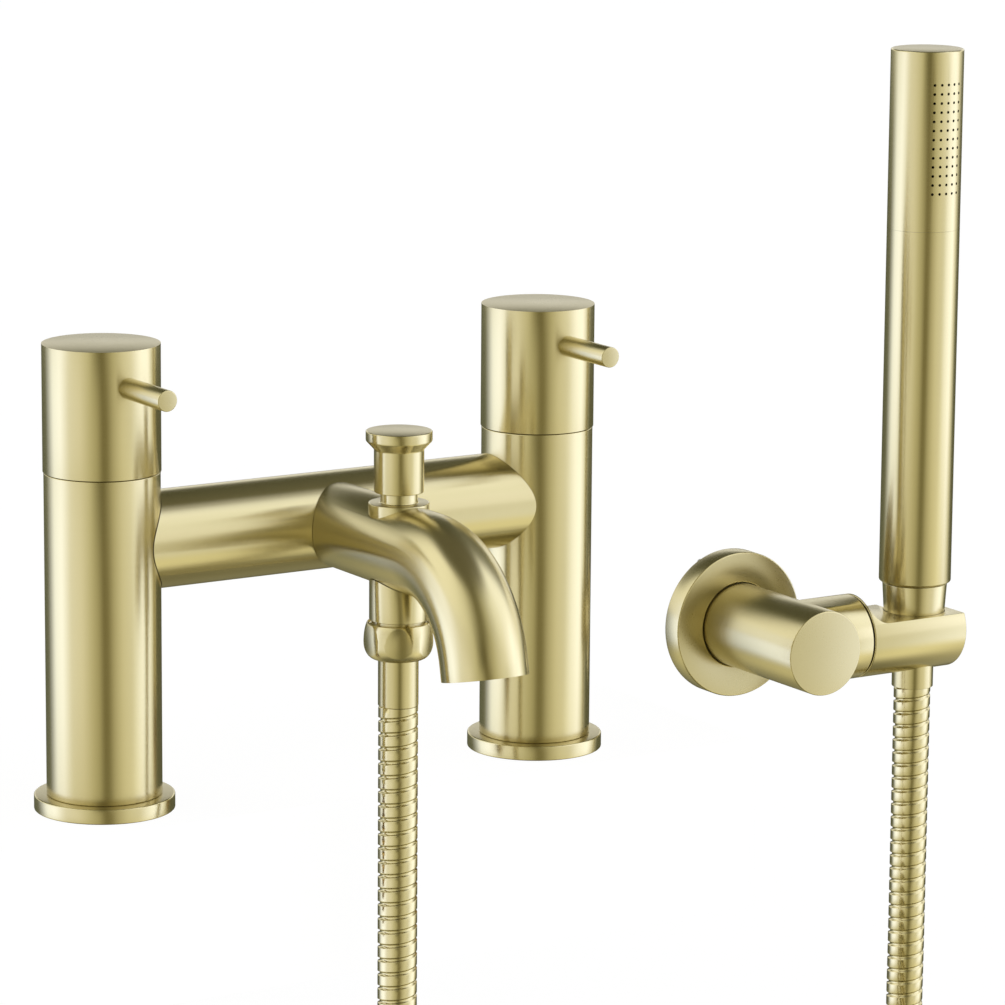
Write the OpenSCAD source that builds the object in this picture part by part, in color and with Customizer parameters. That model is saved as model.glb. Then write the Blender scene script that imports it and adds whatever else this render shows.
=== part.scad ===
// Bath shower mixer: two pillars on a bath deck joined by a bridge, a curved spout with a
// pull-up diverter, and a stick handset that hangs in a swivelling wall bracket on a ribbed hose.
// The frame stands midway between the pillars on the deck: +X to the right, +Z up, -Y over the bath.

/* [Pillars] */
// Distance between the two pillar axes
centres = 180; // [160:1:220]
// Diameter of each pillar
pillar_d = 41; // [39:0.5:48]
// Wall of the hollow pillar casting
pillar_wall = 4; // [3:0.5:5]
// Height of the seam between pillar and handle above the deck
seam_z = 121.5; // [116:0.5:140]
// Width of that seam
seam_gap = 0.5; // [0.3:0.1:1]
// Diameter of the base flange
flange_d = 50; // [48:0.5:60]
// Thickness of the base flange
flange_h = 5.5; // [4:0.5:8]
// Outer diameter of the rubber seal under the flange
deck_seal_od = 44; // [42:0.5:46]
// Width of that seal's ring
deck_seal_w = 4; // [3:0.5:5]
// Thickness of that seal
deck_seal_h = 2; // [1.5:0.1:2.5]

/* [Inlet tails] */
// Thread of the tail that the backnut clamps on
tail_d = 28; // [26:0.5:30]
// Thread of the tail's lower end, for the supply pipe
connector_d = 26.4; // [20:0.1:27]
// Waterway through the tail
tail_bore = 19; // [14:0.5:19]
// Depth of the tail's thread inside the pillar
tail_in = 20; // [12:1:26]
// Length of the tail's lower thread
connector_len = 16; // [12:1:30]
// Thickness of deck that the backnut clamps
deck_grip = 20; // [10:1:40]
// Width across the flats of the backnut
backnut_af = 38; // [36:1:44]
// Thickness of the backnut
backnut_h = 8; // [6:0.5:12]
// Diameter of the washer above the backnut
clamp_washer_d = 46; // [42:1:52]
// Thickness of that washer
clamp_washer_h = 2; // [1.5:0.1:3]

/* [Valves] */
// Bore of the valve chamber in the pillar
valve_d = 21; // [20:0.1:22]
// Height of the valve seat below the bridge's axis
seat_drop = 9; // [8:0.5:10]
// Bore of the valve seat
seat_port_d = 12; // [8:0.5:13]
// Thickness of the rubber seal on the seat
seat_seal_h = 2; // [1.5:0.1:3]
// Diameter of the ceramic discs
disc_d = 16; // [15:0.1:16.5]
// Thickness of each ceramic disc
disc_h = 3; // [2.5:0.1:3.5]
// Diameter of the valve spindle
spindle_d = 9; // [8:0.5:10]
// Diameter of the spindle's splined end
spline_d = 8; // [6:0.5:8]
// Length of the spline inside the handle
spline_in = 12; // [8:0.5:16]

/* [Handles] */
// How far the handle stands out past the pillar all round
handle_over = 0.3; // [0:0.1:1]
// Height of the handle
handle_h = 45.2; // [38:0.1:60]
// Wall of the handle's skirt
handle_wall = 3; // [2:0.1:4]
// Thickness of the handle's top
handle_top = 4; // [3:0.5:6]
// Diameter of the hub inside the handle
hub_d = 18; // [16:0.5:22]
// Diameter of the pin lever
lever_d = 7.5; // [6:0.1:9]
// Distance from the pillar's axis to the lever's tip
lever_reach = 49; // [40:0.5:70]
// Depth of the lever's axis below the top of the handle
lever_drop = 13; // [9:0.5:16]
// Depth of the lever's seat in the skirt
lever_seat = 1.5; // [1:0.1:2]
// Diameter of the lever's threaded stud
lever_stud_d = 5; // [4:0.5:5]
// Diameter of the set screw in the handle
handle_screw_d = 4; // [3:0.5:5]

/* [Bridge and spout] */
// Height of the bridge's axis above the deck
bar_z = 95; // [88:0.5:100]
// Diameter of the bridge
bar_d = 35; // [33:0.5:38]
// Bore of the bridge
bar_bore = 26; // [22:0.5:27]
// Waterway from the pillar into the bridge
port_d = 14; // [12:0.5:15]
// Diameter of the spout
spout_d = 30.5; // [29.5:0.1:32]
// Bore of the spout beyond the diverter
spout_bore = 23; // [20:0.5:23.5]
// Distance from the bridge's axis to where the spout bends
spout_reach = 72; // [68:0.5:100]
// Radius of the bend on the spout's axis
bend_r = 38; // [34:0.5:60]
// Angle of the bend in degrees
bend_deg = 78; // [60:1:90]
// Straight length after the bend
outlet_len = 6; // [4:0.5:20]
// Diameter of the aerator's thread
aerator_d = 24; // [22:0.5:25]
// Height of the aerator
aerator_h = 8; // [6:0.5:10]
// Diameter of the aerator's inner sieve
sieve_d = 20; // [18:0.5:21]
// Pitch of the sieve's holes
sieve_pitch = 3.8; // [3.4:0.1:4.2]
// Diameter of the sieve's holes
sieve_hole_d = 2.6; // [2:0.1:3]

/* [Diverter] */
// Distance of the diverter from the bridge's axis
diverter_out = 52; // [50:0.5:56]
// Bore of the diverter chamber through the spout
chamber_d = 16; // [15:0.5:16.5]
// Waterway from the bridge to the chamber
passage_d = 14; // [10:0.5:15]
// Diameter of the collar on top of the spout
collar_d = 21.6; // [20:0.1:24]
// Height of the collar's top above the spout's axis
collar_rise = 15.5; // [15.4:0.1:18]
// Height of the collar
collar_h = 5.5; // [4:0.1:7]
// Thread of the bonnet below the collar
bonnet_thread_d = 18; // [17.5:0.1:19]
// Length of that thread
bonnet_thread_h = 3.5; // [3:0.1:5]
// Diameter of the bonnet's neck
neck_d = 13.2; // [12:0.1:14]
// Part of the neck that shows below the knob
neck_show = 3.7; // [2:0.1:6]
// Diameter of the stem
stem_d = 6; // [5:0.1:7]
// Diameter of the knob's barrel
knob_d = 17.7; // [16.5:0.1:22]
// Height of the knob's barrel
knob_barrel_h = 15.3; // [12:0.1:20]
// Height of the cone between barrel and cap
knob_cone_h = 3.1; // [2:0.1:5]
// Diameter of the knob's cap
cap_d = 23.5; // [22:0.1:30]
// Height of the cap's rim
cap_h = 3.5; // [2.5:0.1:6]
// Wall of the knob's barrel
knob_wall = 1.85; // [1.2:0.05:2]
// Travel of the diverter
diverter_travel = 10; // [8:0.5:11]
// Diameter of the plunger
plunger_d = 14; // [12:0.1:14.5]
// Thickness of the plunger's body
plunger_h = 3.5; // [2.5:0.1:4]
// Thickness of each rubber seal on the plunger
plunger_seal_h = 1.5; // [1:0.1:2]

/* [Shower outlet] */
// Diameter of the outlet nipple
nipple_d = 20.8; // [19:0.1:22]
// Waterway through the nipple
nipple_bore = 11; // [8:0.5:12]
// Height of the hose nut's top above the deck
nut_top_z = 67.5; // [62:0.1:70]
// Height of the hose nut
nut_h = 13.1; // [10:0.1:16]
// Largest diameter of the barrel-shaped nut
nut_d = 24.7; // [24.3:0.1:28]
// Width across the nut's flats
nut_af = 22.8; // [22.4:0.1:26]
// Diameter of the nut's upper edge
nut_rim_d = 22.3; // [22:0.1:25]
// Thickness of the nut's lower lip
nut_lip = 2; // [1.5:0.1:2.5]
// Diameter of the hose's end sleeve
sleeve_d = 14.4; // [13.8:0.1:16]
// Length of the sleeve below the nut
sleeve_len = 17.2; // [12:0.1:24]
// Thickness of the hose washers
hose_washer_h = 2; // [1.5:0.1:2.5]

/* [Hose] */
// Diameter of the hose over its ribs
hose_d = 14; // [13:0.1:14.2]
// Bore of the hose
hose_bore = 9.4; // [8:0.1:10]
// Depth of the grooves between the ribs
rib_depth = 1; // [0.4:0.1:1.2]
// Pitch of the ribs on the hanging runs
rib_pitch = 5; // [4:0.1:8]
// Pitch of the ribs on the coil
coil_rib_pitch = 15; // [10:0.5:20]
// Width of the strap that ties the coil
tie_w = 12; // [8:1:16]
// Thickness of that strap
tie_h = 1.5; // [1:0.1:2]

/* [Wall bracket] */
// Distance of the bracket's post to the right of the mixer's middle
bracket_x = 200; // [180:1:300]
// Height of the bracket's post above the deck
bracket_z = 28.5; // [28:0.5:200]
// Distance of the wall behind the pillars' axes
wall_y = 35; // [30:1:80]
// Diameter of the wall flange
rose_d = 57; // [52:0.5:64]
// Thickness of the wall flange
rose_h = 9; // [8:0.5:12]
// Front wall of the hollow wall flange
rose_wall = 2.5; // [2:0.1:3]
// Diameter of the fixing plate
plate_d = 50; // [46:0.5:51]
// Thickness of the fixing plate
plate_h = 3; // [2.8:0.1:4]
// Distance between the two wall screws
screw_centres = 38; // [34:0.5:39]
// Diameter of the wall screws
wall_screw_d = 4; // [3:0.5:4.5]
// Length of the wall screws inside the wall
wall_screw_in = 20; // [16:1:20]
// Diameter of the plate's stub that carries the post
stub_d = 18; // [14:0.5:20]
// Length of that stub
stub_len = 16; // [12:0.5:18]
// Diameter of the post, its arm and the cradle
post_d = 32.6; // [30:0.1:38]
// Distance from the wall to the front face of the post
post_reach = 67; // [64:0.5:90]
// Distance from the wall to the axis of the arm
arm_out = 47; // [44:0.5:47]
// Distance from the post's axis to the end of the arm
arm_reach = 25.4; // [24:0.1:40]
// Width of the seam between arm and cradle
cradle_seam = 0.8; // [0.6:0.1:1.2]
// Diameter of the cradle's pivot
pivot_d = 12; // [10:0.5:14]
// Length of the pivot in the arm
pivot_len = 14; // [12:0.5:16]
// Diameter of the set screws in the post and the arm
bracket_screw_d = 4; // [3:0.5:4]

/* [Cradle] */
// Length of the cradle
cradle_len = 43.3; // [42:0.1:50]
// Distance from the cradle's inner end to the handset's axis
cradle_hole_in = 29.8; // [26:0.1:30]
// Height of the flat on the cradle above its axis
flat_rise = 7; // [5:0.1:9]
// Distance from the cradle's inner end to where the flat begins
flat_start = 0.6; // [0.5:0.1:5]
// Radius at the inner end of the flat
flat_r = 6.8; // [4:0.1:8]
// Width of the slot that lets the hose out at the back
hose_slot_w = 15; // [14.6:0.1:15.4]

/* [Handset] */
// Diameter of the handset
handset_d = 27.8; // [26:0.1:32]
// Length of the handset
handset_len = 206.5; // [180:0.5:240]
// Length of the spray head
head_len = 68.5; // [64:0.1:90]
// Wall of the handset's tube
handset_wall = 1.9; // [1.5:0.1:2.2]
// Thickness of the handset's closed ends
handset_end = 4; // [3:0.5:5]
// Height of the chamfer at the handset's foot
foot_h = 1; // [0.6:0.1:3]
// Diameter of the foot below the chamfer
foot_d = 25.6; // [25:0.1:26.4]
// Length of the head's spigot inside the grip
head_spigot = 8; // [6:0.5:12]
// Rows of spray holes
spray_rows = 13; // [5:1:14]
// Columns of spray holes
spray_cols = 5; // [3:1:7]
// Height between rows of spray holes
spray_pitch = 3.45; // [2.6:0.05:3.6]
// Angle between columns of spray holes in degrees
spray_step = 11.9; // [9:0.1:13]
// Diameter of the spray holes
spray_d = 1.1; // [0.8:0.1:1.4]
// Distance from the top of the handset to the highest row
spray_top = 12.6; // [10:0.1:20]
// Thickness of the liner behind the spray holes
liner_h = 1.5; // [1:0.1:2]

/* [Hose cone] */
// Diameter of the cone's upper end
cone_d = 25; // [24:0.1:25.4]
// Height of the cone's upper end above the cradle's axis
cone_top = 18.1; // [17:0.1:20]
// Height of the taper
cone_h = 26; // [22:0.1:28]
// Diameter of the taper's lower end, above the shoulder
cone_low_d = 21.6; // [20:0.1:22.4]
// Diameter of the cone's straight tail
cone_tail_d = 16; // [15.4:0.1:16.4]
// Length of that tail
cone_tail_h = 12.3; // [8:0.1:14]
// Thread of the handset inside the cone
inlet_d = 20.4; // [19:0.1:20.6]
// Length of that thread
inlet_len = 5; // [4:0.1:6]
// Diameter of the swivel ferrule's flange
ferrule_d = 16.6; // [16:0.1:17]
// Thickness of that flange
ferrule_h = 2.2; // [1.5:0.1:3]

/* [Fits] */
// Gap at a butted or coped seam between fixed pieces
joint_gap = 0.2; // [0.1:0.05:0.4]
// Radial clearance of a screwed or pushed-in piece
slip = 0.1; // [0.05:0.05:0.2]
// Radial clearance of a shaft that turns or slides in its bore
run = 0.05; // [0.02:0.01:0.1]
// Gap between moving pieces that pass each other
pass_gap = 0.3; // [0.2:0.05:0.4]
// Chamfer on outer edges
edge = 0.5; // [0.2:0.1:0.8]

/* [Hidden] */
$fn = 96;
// How far a cutting shape runs past a face
past = 1;
// Overlap of two shapes that are one piece
weld = 0.5;
brass = [0.79, 0.72, 0.48];
raw_brass = [0.72, 0.58, 0.28];
rubber = [0.12, 0.12, 0.12];
ceramic = [0.92, 0.91, 0.88];
plastic = [0.75, 0.76, 0.76];
steel = [0.62, 0.63, 0.64];

pillar_x = centres / 2;
deck_seal_id = deck_seal_od - 2 * deck_seal_w;
pillar_top = seam_z - seam_gap / 2;
handle_low = seam_z + seam_gap / 2;
handle_d = pillar_d + 2 * handle_over;
cavity_d = pillar_d - 2 * pillar_wall;
socket_d = tail_d + 2 * slip;
socket_top = flange_h + tail_in + past;
seat_z = bar_z - seat_drop;
seat_web = 6;
port_step = 2;
recess_h = 10;
recess_z = pillar_top - recess_h;
thread_spare = 4;
clamp_low = deck_grip + clamp_washer_h + backnut_h + thread_spare;
tail_low = clamp_low + connector_len;

cartridge_d = valve_d - 2 * slip;
cartridge_low = seat_z + seat_seal_h;
cartridge_hex_af = 24;
cartridge_hex_h = 4;
cartridge_neck_d = 14;
cartridge_neck_h = 3;
cartridge_top = recess_z + cartridge_hex_h + cartridge_neck_h;
disc_gap = 0.05;
moving_disc_z = cartridge_low + disc_h + disc_gap;
drive_z = moving_disc_z + disc_h;
drive_h = 4;
disc_room_top = drive_z + drive_h + pass_gap;
disc_port_d = 4;
disc_port_r = 4;
window_d = 8;

hub_gap = 3;
hub_low = handle_low + hub_gap;
handle_top_z = handle_low + handle_h;
lever_z = handle_top_z - lever_drop;
handle_screw_z = hub_low + spline_in / 2;

bar_spigot_in = 6;
bar_end_wall = 6;
bar_half = pillar_x - pillar_d / 2 - joint_gap;
spout_spigot_d = 20;
spout_spigot_in = 4;
chamber_wall = 6;
bore_start = diverter_out + chamber_d / 2 + chamber_wall;
aerator_inset = 0.6;
// The straight mouth is turned this much smaller in radius than the bend
mouth_step = 0.04;

collar_top = bar_z + collar_rise;
collar_low = collar_top - collar_h;
bonnet_low = collar_low - bonnet_thread_h;
knob_low = collar_top + neck_show;
cone_low_z = knob_low + knob_barrel_h;
cap_low = cone_low_z + knob_cone_h;
knob_top = cap_low + cap_h;
knob_hollow_top = cone_low_z + knob_cone_h / 4;
neck_top = knob_hollow_top - 1.5;
stem_top = cap_low + cap_h / 2;
chamber_low = bar_z - spout_bore / 2;
plunger_low = chamber_low + pass_gap;
plunger_z = plunger_low + plunger_seal_h;
stem_ring_d = 1.8;
stem_ring_z = collar_low + 2;

nut_low_z = nut_top_z - nut_h;
sleeve_low = nut_low_z - sleeve_len;
sleeve_flange_z = nut_low_z + nut_lip + slip;
sleeve_flange_h = 2;
nut_washer_z = sleeve_flange_z + sleeve_flange_h;
nipple_low = nut_washer_z + hose_washer_h;
nut_thread_d = nipple_d + 2 * slip;
nut_foot_d = sleeve_d + 2.4;
nut_belly = 0.45;

arm_y = wall_y - arm_out;
arm_end = bracket_x + arm_reach;
cradle_x = arm_end + cradle_seam;
handset_x = cradle_x + cradle_hole_in;
plate_y = wall_y - plate_h;
screw_neck = 0.25;
neck_out = 0.5;
post_back = plate_y - joint_gap;
post_front = wall_y - post_reach;
flat_z = bracket_z + flat_rise;
pivot_groove = 2;
pivot_groove_d = pivot_d - 2 * pivot_groove;
pivot_groove_w = bracket_screw_d + 2 * pass_gap;
pivot_groove_x = arm_end - pivot_len / 2;
stub_screw_y = plate_y - stub_len / 2;

cone_top_z = bracket_z + cone_top;
taper_low = cone_top_z - cone_h;
shoulder_low = taper_low - (cone_low_d - cone_tail_d) / 2;
cone_low = shoulder_low - cone_tail_h;
inlet_bore_d = inlet_d + 2 * slip;
handset_low = cone_top_z + joint_gap;
inlet_low = handset_low - inlet_len;
handset_washer_z = inlet_low - hose_washer_h;
ferrule_z = handset_washer_z - slip - ferrule_h;
ferrule_seat = ferrule_z - slip;
hose_sides = 8;
ferrule_tail_d = hose_bore * cos(180 / hose_sides) - 2 * pass_gap;
ferrule_tail_low = taper_low;
ferrule_bore = 6;
handset_top = handset_low + handset_len;
head_low = handset_top - head_len;
grip_bore = handset_d - 2 * handset_wall;
grip_top = head_low - joint_gap;
head_ring_d = 1;
head_ring_z = head_low - head_spigot / 2;
liner_d = grip_bore - 2 * slip;
liner_low = head_low + 3;
liner_top = handset_top - handset_end - slip;
liner_window_w = 16;
seat_gap = 0.25;

hose_end_gap = 1;
hose_y = -diverter_out;
// The hose's hanging runs, from the outlet sleeve to the coil and from the coil into the cone
left_route = [
    [0, hose_y, sleeve_low], [0, hose_y, 0], [0, hose_y, -45], [0, hose_y, -90], [0, hose_y, -127],
    [4, -52.6, -151.5], [16, -54.2, -172.5], [35, -56.8, -188.6], [66, -59.8, -206.9], [98, -61.7, -226.2]
];
right_route = [
    [217.3, -26, -235.6], [231, -24.5, -227.7], [244.3, -22, -216.5], [253, -19.5, -201.5],
    [handset_x, -17, -184.4], [handset_x, -14, -160], [handset_x, arm_y, -130], [handset_x, arm_y, -95],
    [handset_x, arm_y, -50], [handset_x, arm_y, 0], [handset_x, arm_y, ferrule_z - hose_end_gap]
];
// The coil's turns stand upright, side by side along Y
coil_x = 165;
coil_z = -185;
coil_r = 70;
coil_from_y = -62;
coil_to_y = -27;
coil_start = 240;
coil_sweep = 780;
bore_rings_apart = 20;
tie_gap = 0.5;

// Turned rod along +Z with a chamfer at each end
module rod(d, h, low = 0, high = 0) {
    foot = low > 0 ? [[d / 2 - low, 0], [d / 2, low]] : [[d / 2, 0]];
    head = high > 0 ? [[d / 2, h - high], [d / 2 - high, h]] : [[d / 2, h]];
    rotate_extrude() polygon(concat([[0, 0]], foot, head, [[0, h]]));
}

// Flat ring along +Z
module ring(od, id, h) {
    difference() {
        cylinder(d = od, h = h);
        translate([0, 0, -past]) cylinder(d = id, h = h + 2 * past);
    }
}

// Hexagonal bar along +Z by its width across flats
module hex_bar(af, h) {
    cylinder(d = af / cos(30), h = h, $fn = 6);
}

// Round ring seal about +Z
module o_ring(mean_d, section_d) {
    rotate_extrude() translate([mean_d / 2, 0]) circle(d = section_d, $fn = 32);
}

// Turns +Z to the front, -Y
module to_front() {
    rotate([90, 0, 0]) children();
}

// Turns +Z to the right, +X
module to_right() {
    rotate([0, 90, 0]) children();
}

// Places a piece on the left (-1) or right (1) pillar's axis
module on_pillar(side) {
    translate([side * pillar_x, 0, 0]) children();
}

// Both pillars' copies of a small piece
module on_pillars() {
    for (side = [-1, 1]) on_pillar(side) children();
}

// Hollow casting with the tail's thread, the valve seat and the port to the bridge
module pillar(side) {
    on_pillar(side) difference() {
        translate([0, 0, flange_h]) rod(pillar_d, pillar_top - flange_h, 0, edge);
        translate([0, 0, flange_h - past]) cylinder(d = socket_d, h = socket_top - flange_h + past);
        translate([0, 0, socket_top - weld])
            cylinder(d = cavity_d, h = seat_z - seat_web - socket_top + weld);
        translate([0, 0, seat_z - seat_web - past]) cylinder(d = seat_port_d, h = seat_web + 2 * past);
        translate([0, 0, seat_z]) cylinder(d = valve_d, h = recess_z - seat_z + past);
        translate([0, 0, recess_z]) cylinder(d = cavity_d, h = pillar_top - recess_z + past);
        translate([0, 0, bar_z]) rotate([0, -side * 90, 0]) cylinder(d = port_d, h = pillar_d);
    }
}
module left_pillar() { color(brass) pillar(-1); }
module right_pillar() { color(brass) pillar(1); }

// Turned plate that covers the hole in the deck, grooved underneath for its seal
module base_flange(side) {
    on_pillar(side) difference() {
        rod(flange_d, flange_h, 0, edge);
        translate([0, 0, -past]) cylinder(d = socket_d, h = flange_h + 2 * past);
        translate([0, 0, -past])
            ring(deck_seal_od + 2 * slip, deck_seal_id - 2 * slip, deck_seal_h + past);
    }
}
module left_base_flange() { color(brass) base_flange(-1); }
module right_base_flange() { color(brass) base_flange(1); }

module deck_seals() {
    color(rubber) on_pillars() ring(deck_seal_od, deck_seal_id, deck_seal_h);
}

// Threaded tube from the pillar through the deck to the supply pipe
module inlet_tail(side) {
    on_pillar(side) rotate_extrude() polygon([
        [tail_bore / 2, -tail_low],
        [connector_d / 2 - edge, -tail_low],
        [connector_d / 2, edge - tail_low],
        [connector_d / 2, -clamp_low],
        [tail_d / 2, -clamp_low],
        [tail_d / 2, flange_h + tail_in],
        [tail_bore / 2, flange_h + tail_in]
    ]);
}
module left_inlet_tail() { color(raw_brass) inlet_tail(-1); }
module right_inlet_tail() { color(raw_brass) inlet_tail(1); }

module clamp_washers() {
    color(rubber) on_pillars()
        translate([0, 0, -deck_grip - clamp_washer_h]) ring(clamp_washer_d, socket_d, clamp_washer_h);
}

module backnuts() {
    color(raw_brass) on_pillars() translate([0, 0, -deck_grip - clamp_washer_h - backnut_h]) difference() {
        hex_bar(backnut_af, backnut_h);
        translate([0, 0, -past]) cylinder(d = socket_d, h = backnut_h + 2 * past);
    }
}

// Quarter-turn valve body: barrel in the chamber, hexagon on the pillar's inner shoulder
module cartridge(side) {
    on_pillar(side) difference() {
        union() {
            translate([0, 0, cartridge_low]) cylinder(d = cartridge_d, h = recess_z - cartridge_low + weld);
            translate([0, 0, recess_z]) hex_bar(cartridge_hex_af, cartridge_hex_h);
            translate([0, 0, recess_z]) cylinder(d = cartridge_neck_d, h = cartridge_top - recess_z);
        }
        translate([0, 0, cartridge_low - past])
            cylinder(d = disc_d + 2 * pass_gap, h = disc_room_top - cartridge_low + past);
        translate([0, 0, cartridge_low]) cylinder(d = spindle_d + 2 * run, h = cartridge_top);
        translate([0, 0, bar_z]) to_right() cylinder(d = window_d, h = 2 * cartridge_d, center = true);
    }
}
module left_cartridge() { color(raw_brass) cartridge(-1); }
module right_cartridge() { color(raw_brass) cartridge(1); }

module seat_seals() {
    color(rubber) on_pillars() translate([0, 0, seat_z]) ring(cartridge_d, seat_port_d, seat_seal_h);
}

// Ceramic disc with two ports
module ceramic_disc(side, z) {
    on_pillar(side) translate([0, 0, z]) difference() {
        cylinder(d = disc_d, h = disc_h);
        for (way = [-1, 1])
            translate([way * disc_port_r, 0, -past]) cylinder(d = disc_port_d, h = disc_h + 2 * past);
    }
}
module left_fixed_disc() { color(ceramic) ceramic_disc(-1, cartridge_low); }
module right_fixed_disc() { color(ceramic) ceramic_disc(1, cartridge_low); }
module left_moving_disc() { color(ceramic) ceramic_disc(-1, moving_disc_z); }
module right_moving_disc() { color(ceramic) ceramic_disc(1, moving_disc_z); }

// Spindle: driving foot on the moving disc, shaft through the neck, spline in the handle
module spindle(side) {
    on_pillar(side) {
        translate([0, 0, drive_z]) cylinder(d = disc_d, h = drive_h);
        translate([0, 0, drive_z]) cylinder(d = spindle_d, h = cartridge_top + pass_gap - drive_z);
        translate([0, 0, drive_z]) cylinder(d = spline_d, h = hub_low + spline_in - drive_z);
    }
}
module left_spindle() { color(raw_brass) spindle(-1); }
module right_spindle() { color(raw_brass) spindle(1); }

// Hollow cap with a hub for the spline, a seat for the lever and a set screw at the back
module handle(side) {
    on_pillar(side) difference() {
        union() {
            translate([0, 0, handle_low]) difference() {
                rod(handle_d, handle_h, edge, edge);
                translate([0, 0, -past])
                    cylinder(d = handle_d - 2 * handle_wall, h = handle_h - handle_top + past);
            }
            translate([0, 0, hub_low]) cylinder(d = hub_d, h = handle_top_z - hub_low - handle_top / 2);
        }
        translate([0, 0, hub_low - past]) cylinder(d = spline_d + 2 * slip, h = spline_in + 2 * past);
        translate([0, -handle_d / 2 + lever_seat, lever_z])
            to_front() cylinder(d = lever_d + 2 * slip, h = handle_d);
        translate([0, -handle_d / 2 + handle_wall + past, lever_z])
            to_front() cylinder(d = lever_stud_d + 2 * slip, h = handle_d);
        translate([0, 0, handle_screw_z])
            rotate([-90, 0, 0]) cylinder(d = handle_screw_d + 2 * slip, h = handle_d);
    }
}
module left_handle() { color(brass) handle(-1); }
module right_handle() { color(brass) handle(1); }

// Pin lever with a stud that screws through the skirt
module lever(side) {
    seat_r = handle_d / 2 - lever_seat;
    on_pillar(side) translate([0, 0, lever_z]) to_front() {
        translate([0, 0, seat_r]) rod(lever_d, lever_reach - seat_r, 0, edge);
        translate([0, 0, handle_d / 2 - handle_wall]) cylinder(d = lever_stud_d, h = handle_wall);
    }
}
module left_lever() { color(brass) lever(-1); }
module right_lever() { color(brass) lever(1); }

// Set screw that clamps the hub to the spline
module handle_screw(side) {
    on_pillar(side) translate([0, spline_d / 2 + slip, handle_screw_z])
        rotate([-90, 0, 0]) cylinder(d = handle_screw_d, h = (hub_d - spline_d) / 2);
}
module left_handle_screw() { color(steel) handle_screw(-1); }
module right_handle_screw() { color(steel) handle_screw(1); }

// Bridge tube: its ends are coped to the pillars and a spigot enters each pillar's port
module crossbar() {
    color(brass) difference() {
        union() {
            difference() {
                translate([-pillar_x, 0, bar_z]) to_right() cylinder(d = bar_d, h = centres);
                on_pillars() cylinder(d = pillar_d + 2 * joint_gap, h = 2 * bar_z);
            }
            translate([-bar_half - bar_spigot_in, 0, bar_z])
                to_right() cylinder(d = port_d - 2 * slip, h = 2 * (bar_half + bar_spigot_in));
        }
        translate([-bar_half + bar_end_wall, 0, bar_z])
            to_right() cylinder(d = bar_bore, h = 2 * (bar_half - bar_end_wall));
        translate([-pillar_x, 0, bar_z]) to_right() cylinder(d = port_d - 2 * port_step, h = centres);
        translate([0, 0, bar_z]) to_front() cylinder(d = spout_spigot_d, h = bar_d);
    }
}

// Round section swept along the spout's axis from a distance in front of the bridge to the bend's end
module spout_sweep(d, from) {
    translate([0, -from, bar_z]) to_front() cylinder(d = d, h = spout_reach - from);
    translate([0, -spout_reach, bar_z - bend_r]) rotate([180, -90, 0])
        rotate_extrude(angle = bend_deg) translate([bend_r, 0]) circle(d = d);
}

// Places a piece in the spout's mouth, with +Z out of it
module at_outlet() {
    translate([0, -spout_reach, bar_z - bend_r]) rotate([180, -90, 0])
        rotate([0, 0, bend_deg]) translate([bend_r, 0, 0]) rotate([-90, 0, 0])
            translate([0, 0, outlet_len]) children();
}

// Spout: coped to the bridge, bored for the diverter, its collar and the nipple below
module spout() {
    spigot_y = -bar_d / 2 + spout_spigot_in;
    color(brass) difference() {
        union() {
            difference() {
                union() {
                    spout_sweep(spout_d, 0);
                    at_outlet() translate([0, 0, -outlet_len - weld])
                        cylinder(d = spout_d - 2 * mouth_step, h = outlet_len + weld);
                }
                translate([-pillar_x, 0, bar_z])
                    to_right() cylinder(d = bar_d + 2 * joint_gap, h = centres);
            }
            translate([0, spigot_y, bar_z])
                to_front() cylinder(d = spout_spigot_d - 2 * slip, h = 2 * spout_spigot_in);
        }
        translate([0, spigot_y + past, bar_z]) to_front() cylinder(d = passage_d, h = spout_reach);
        spout_sweep(spout_bore, bore_start);
        at_outlet() translate([0, 0, -aerator_h - aerator_inset])
            cylinder(d = aerator_d + 2 * slip, h = aerator_h + aerator_inset + past);
        translate([0, -diverter_out, bar_z - spout_d])
            cylinder(d = chamber_d, h = bonnet_low + past - bar_z + spout_d);
        translate([0, -diverter_out, bonnet_low]) cylinder(d = bonnet_thread_d, h = spout_d);
        translate([0, -diverter_out, collar_low]) cylinder(d = collar_d + 2 * slip, h = spout_d);
    }
}

module aerator_housing() {
    color(brass) at_outlet() translate([0, 0, -aerator_h - aerator_inset])
        ring(aerator_d, sieve_d + 2 * slip, aerator_h);
}

// Plastic sieve: a disc of holes on a triangular grid
module aerator_sieve() {
    rings = floor((sieve_d / 2 - sieve_hole_d / 2) / sieve_pitch);
    color(plastic) at_outlet() translate([0, 0, -aerator_h - aerator_inset]) difference() {
        cylinder(d = sieve_d, h = aerator_h - past);
        for (row = [-rings:rings])
            for (i = [0:2 * rings - abs(row)])
                translate([(i - rings + abs(row) / 2) * sieve_pitch, row * sieve_pitch * sin(60), -past])
                    cylinder(d = sieve_hole_d, h = aerator_h + past, $fn = 24);
    }
}

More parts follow.
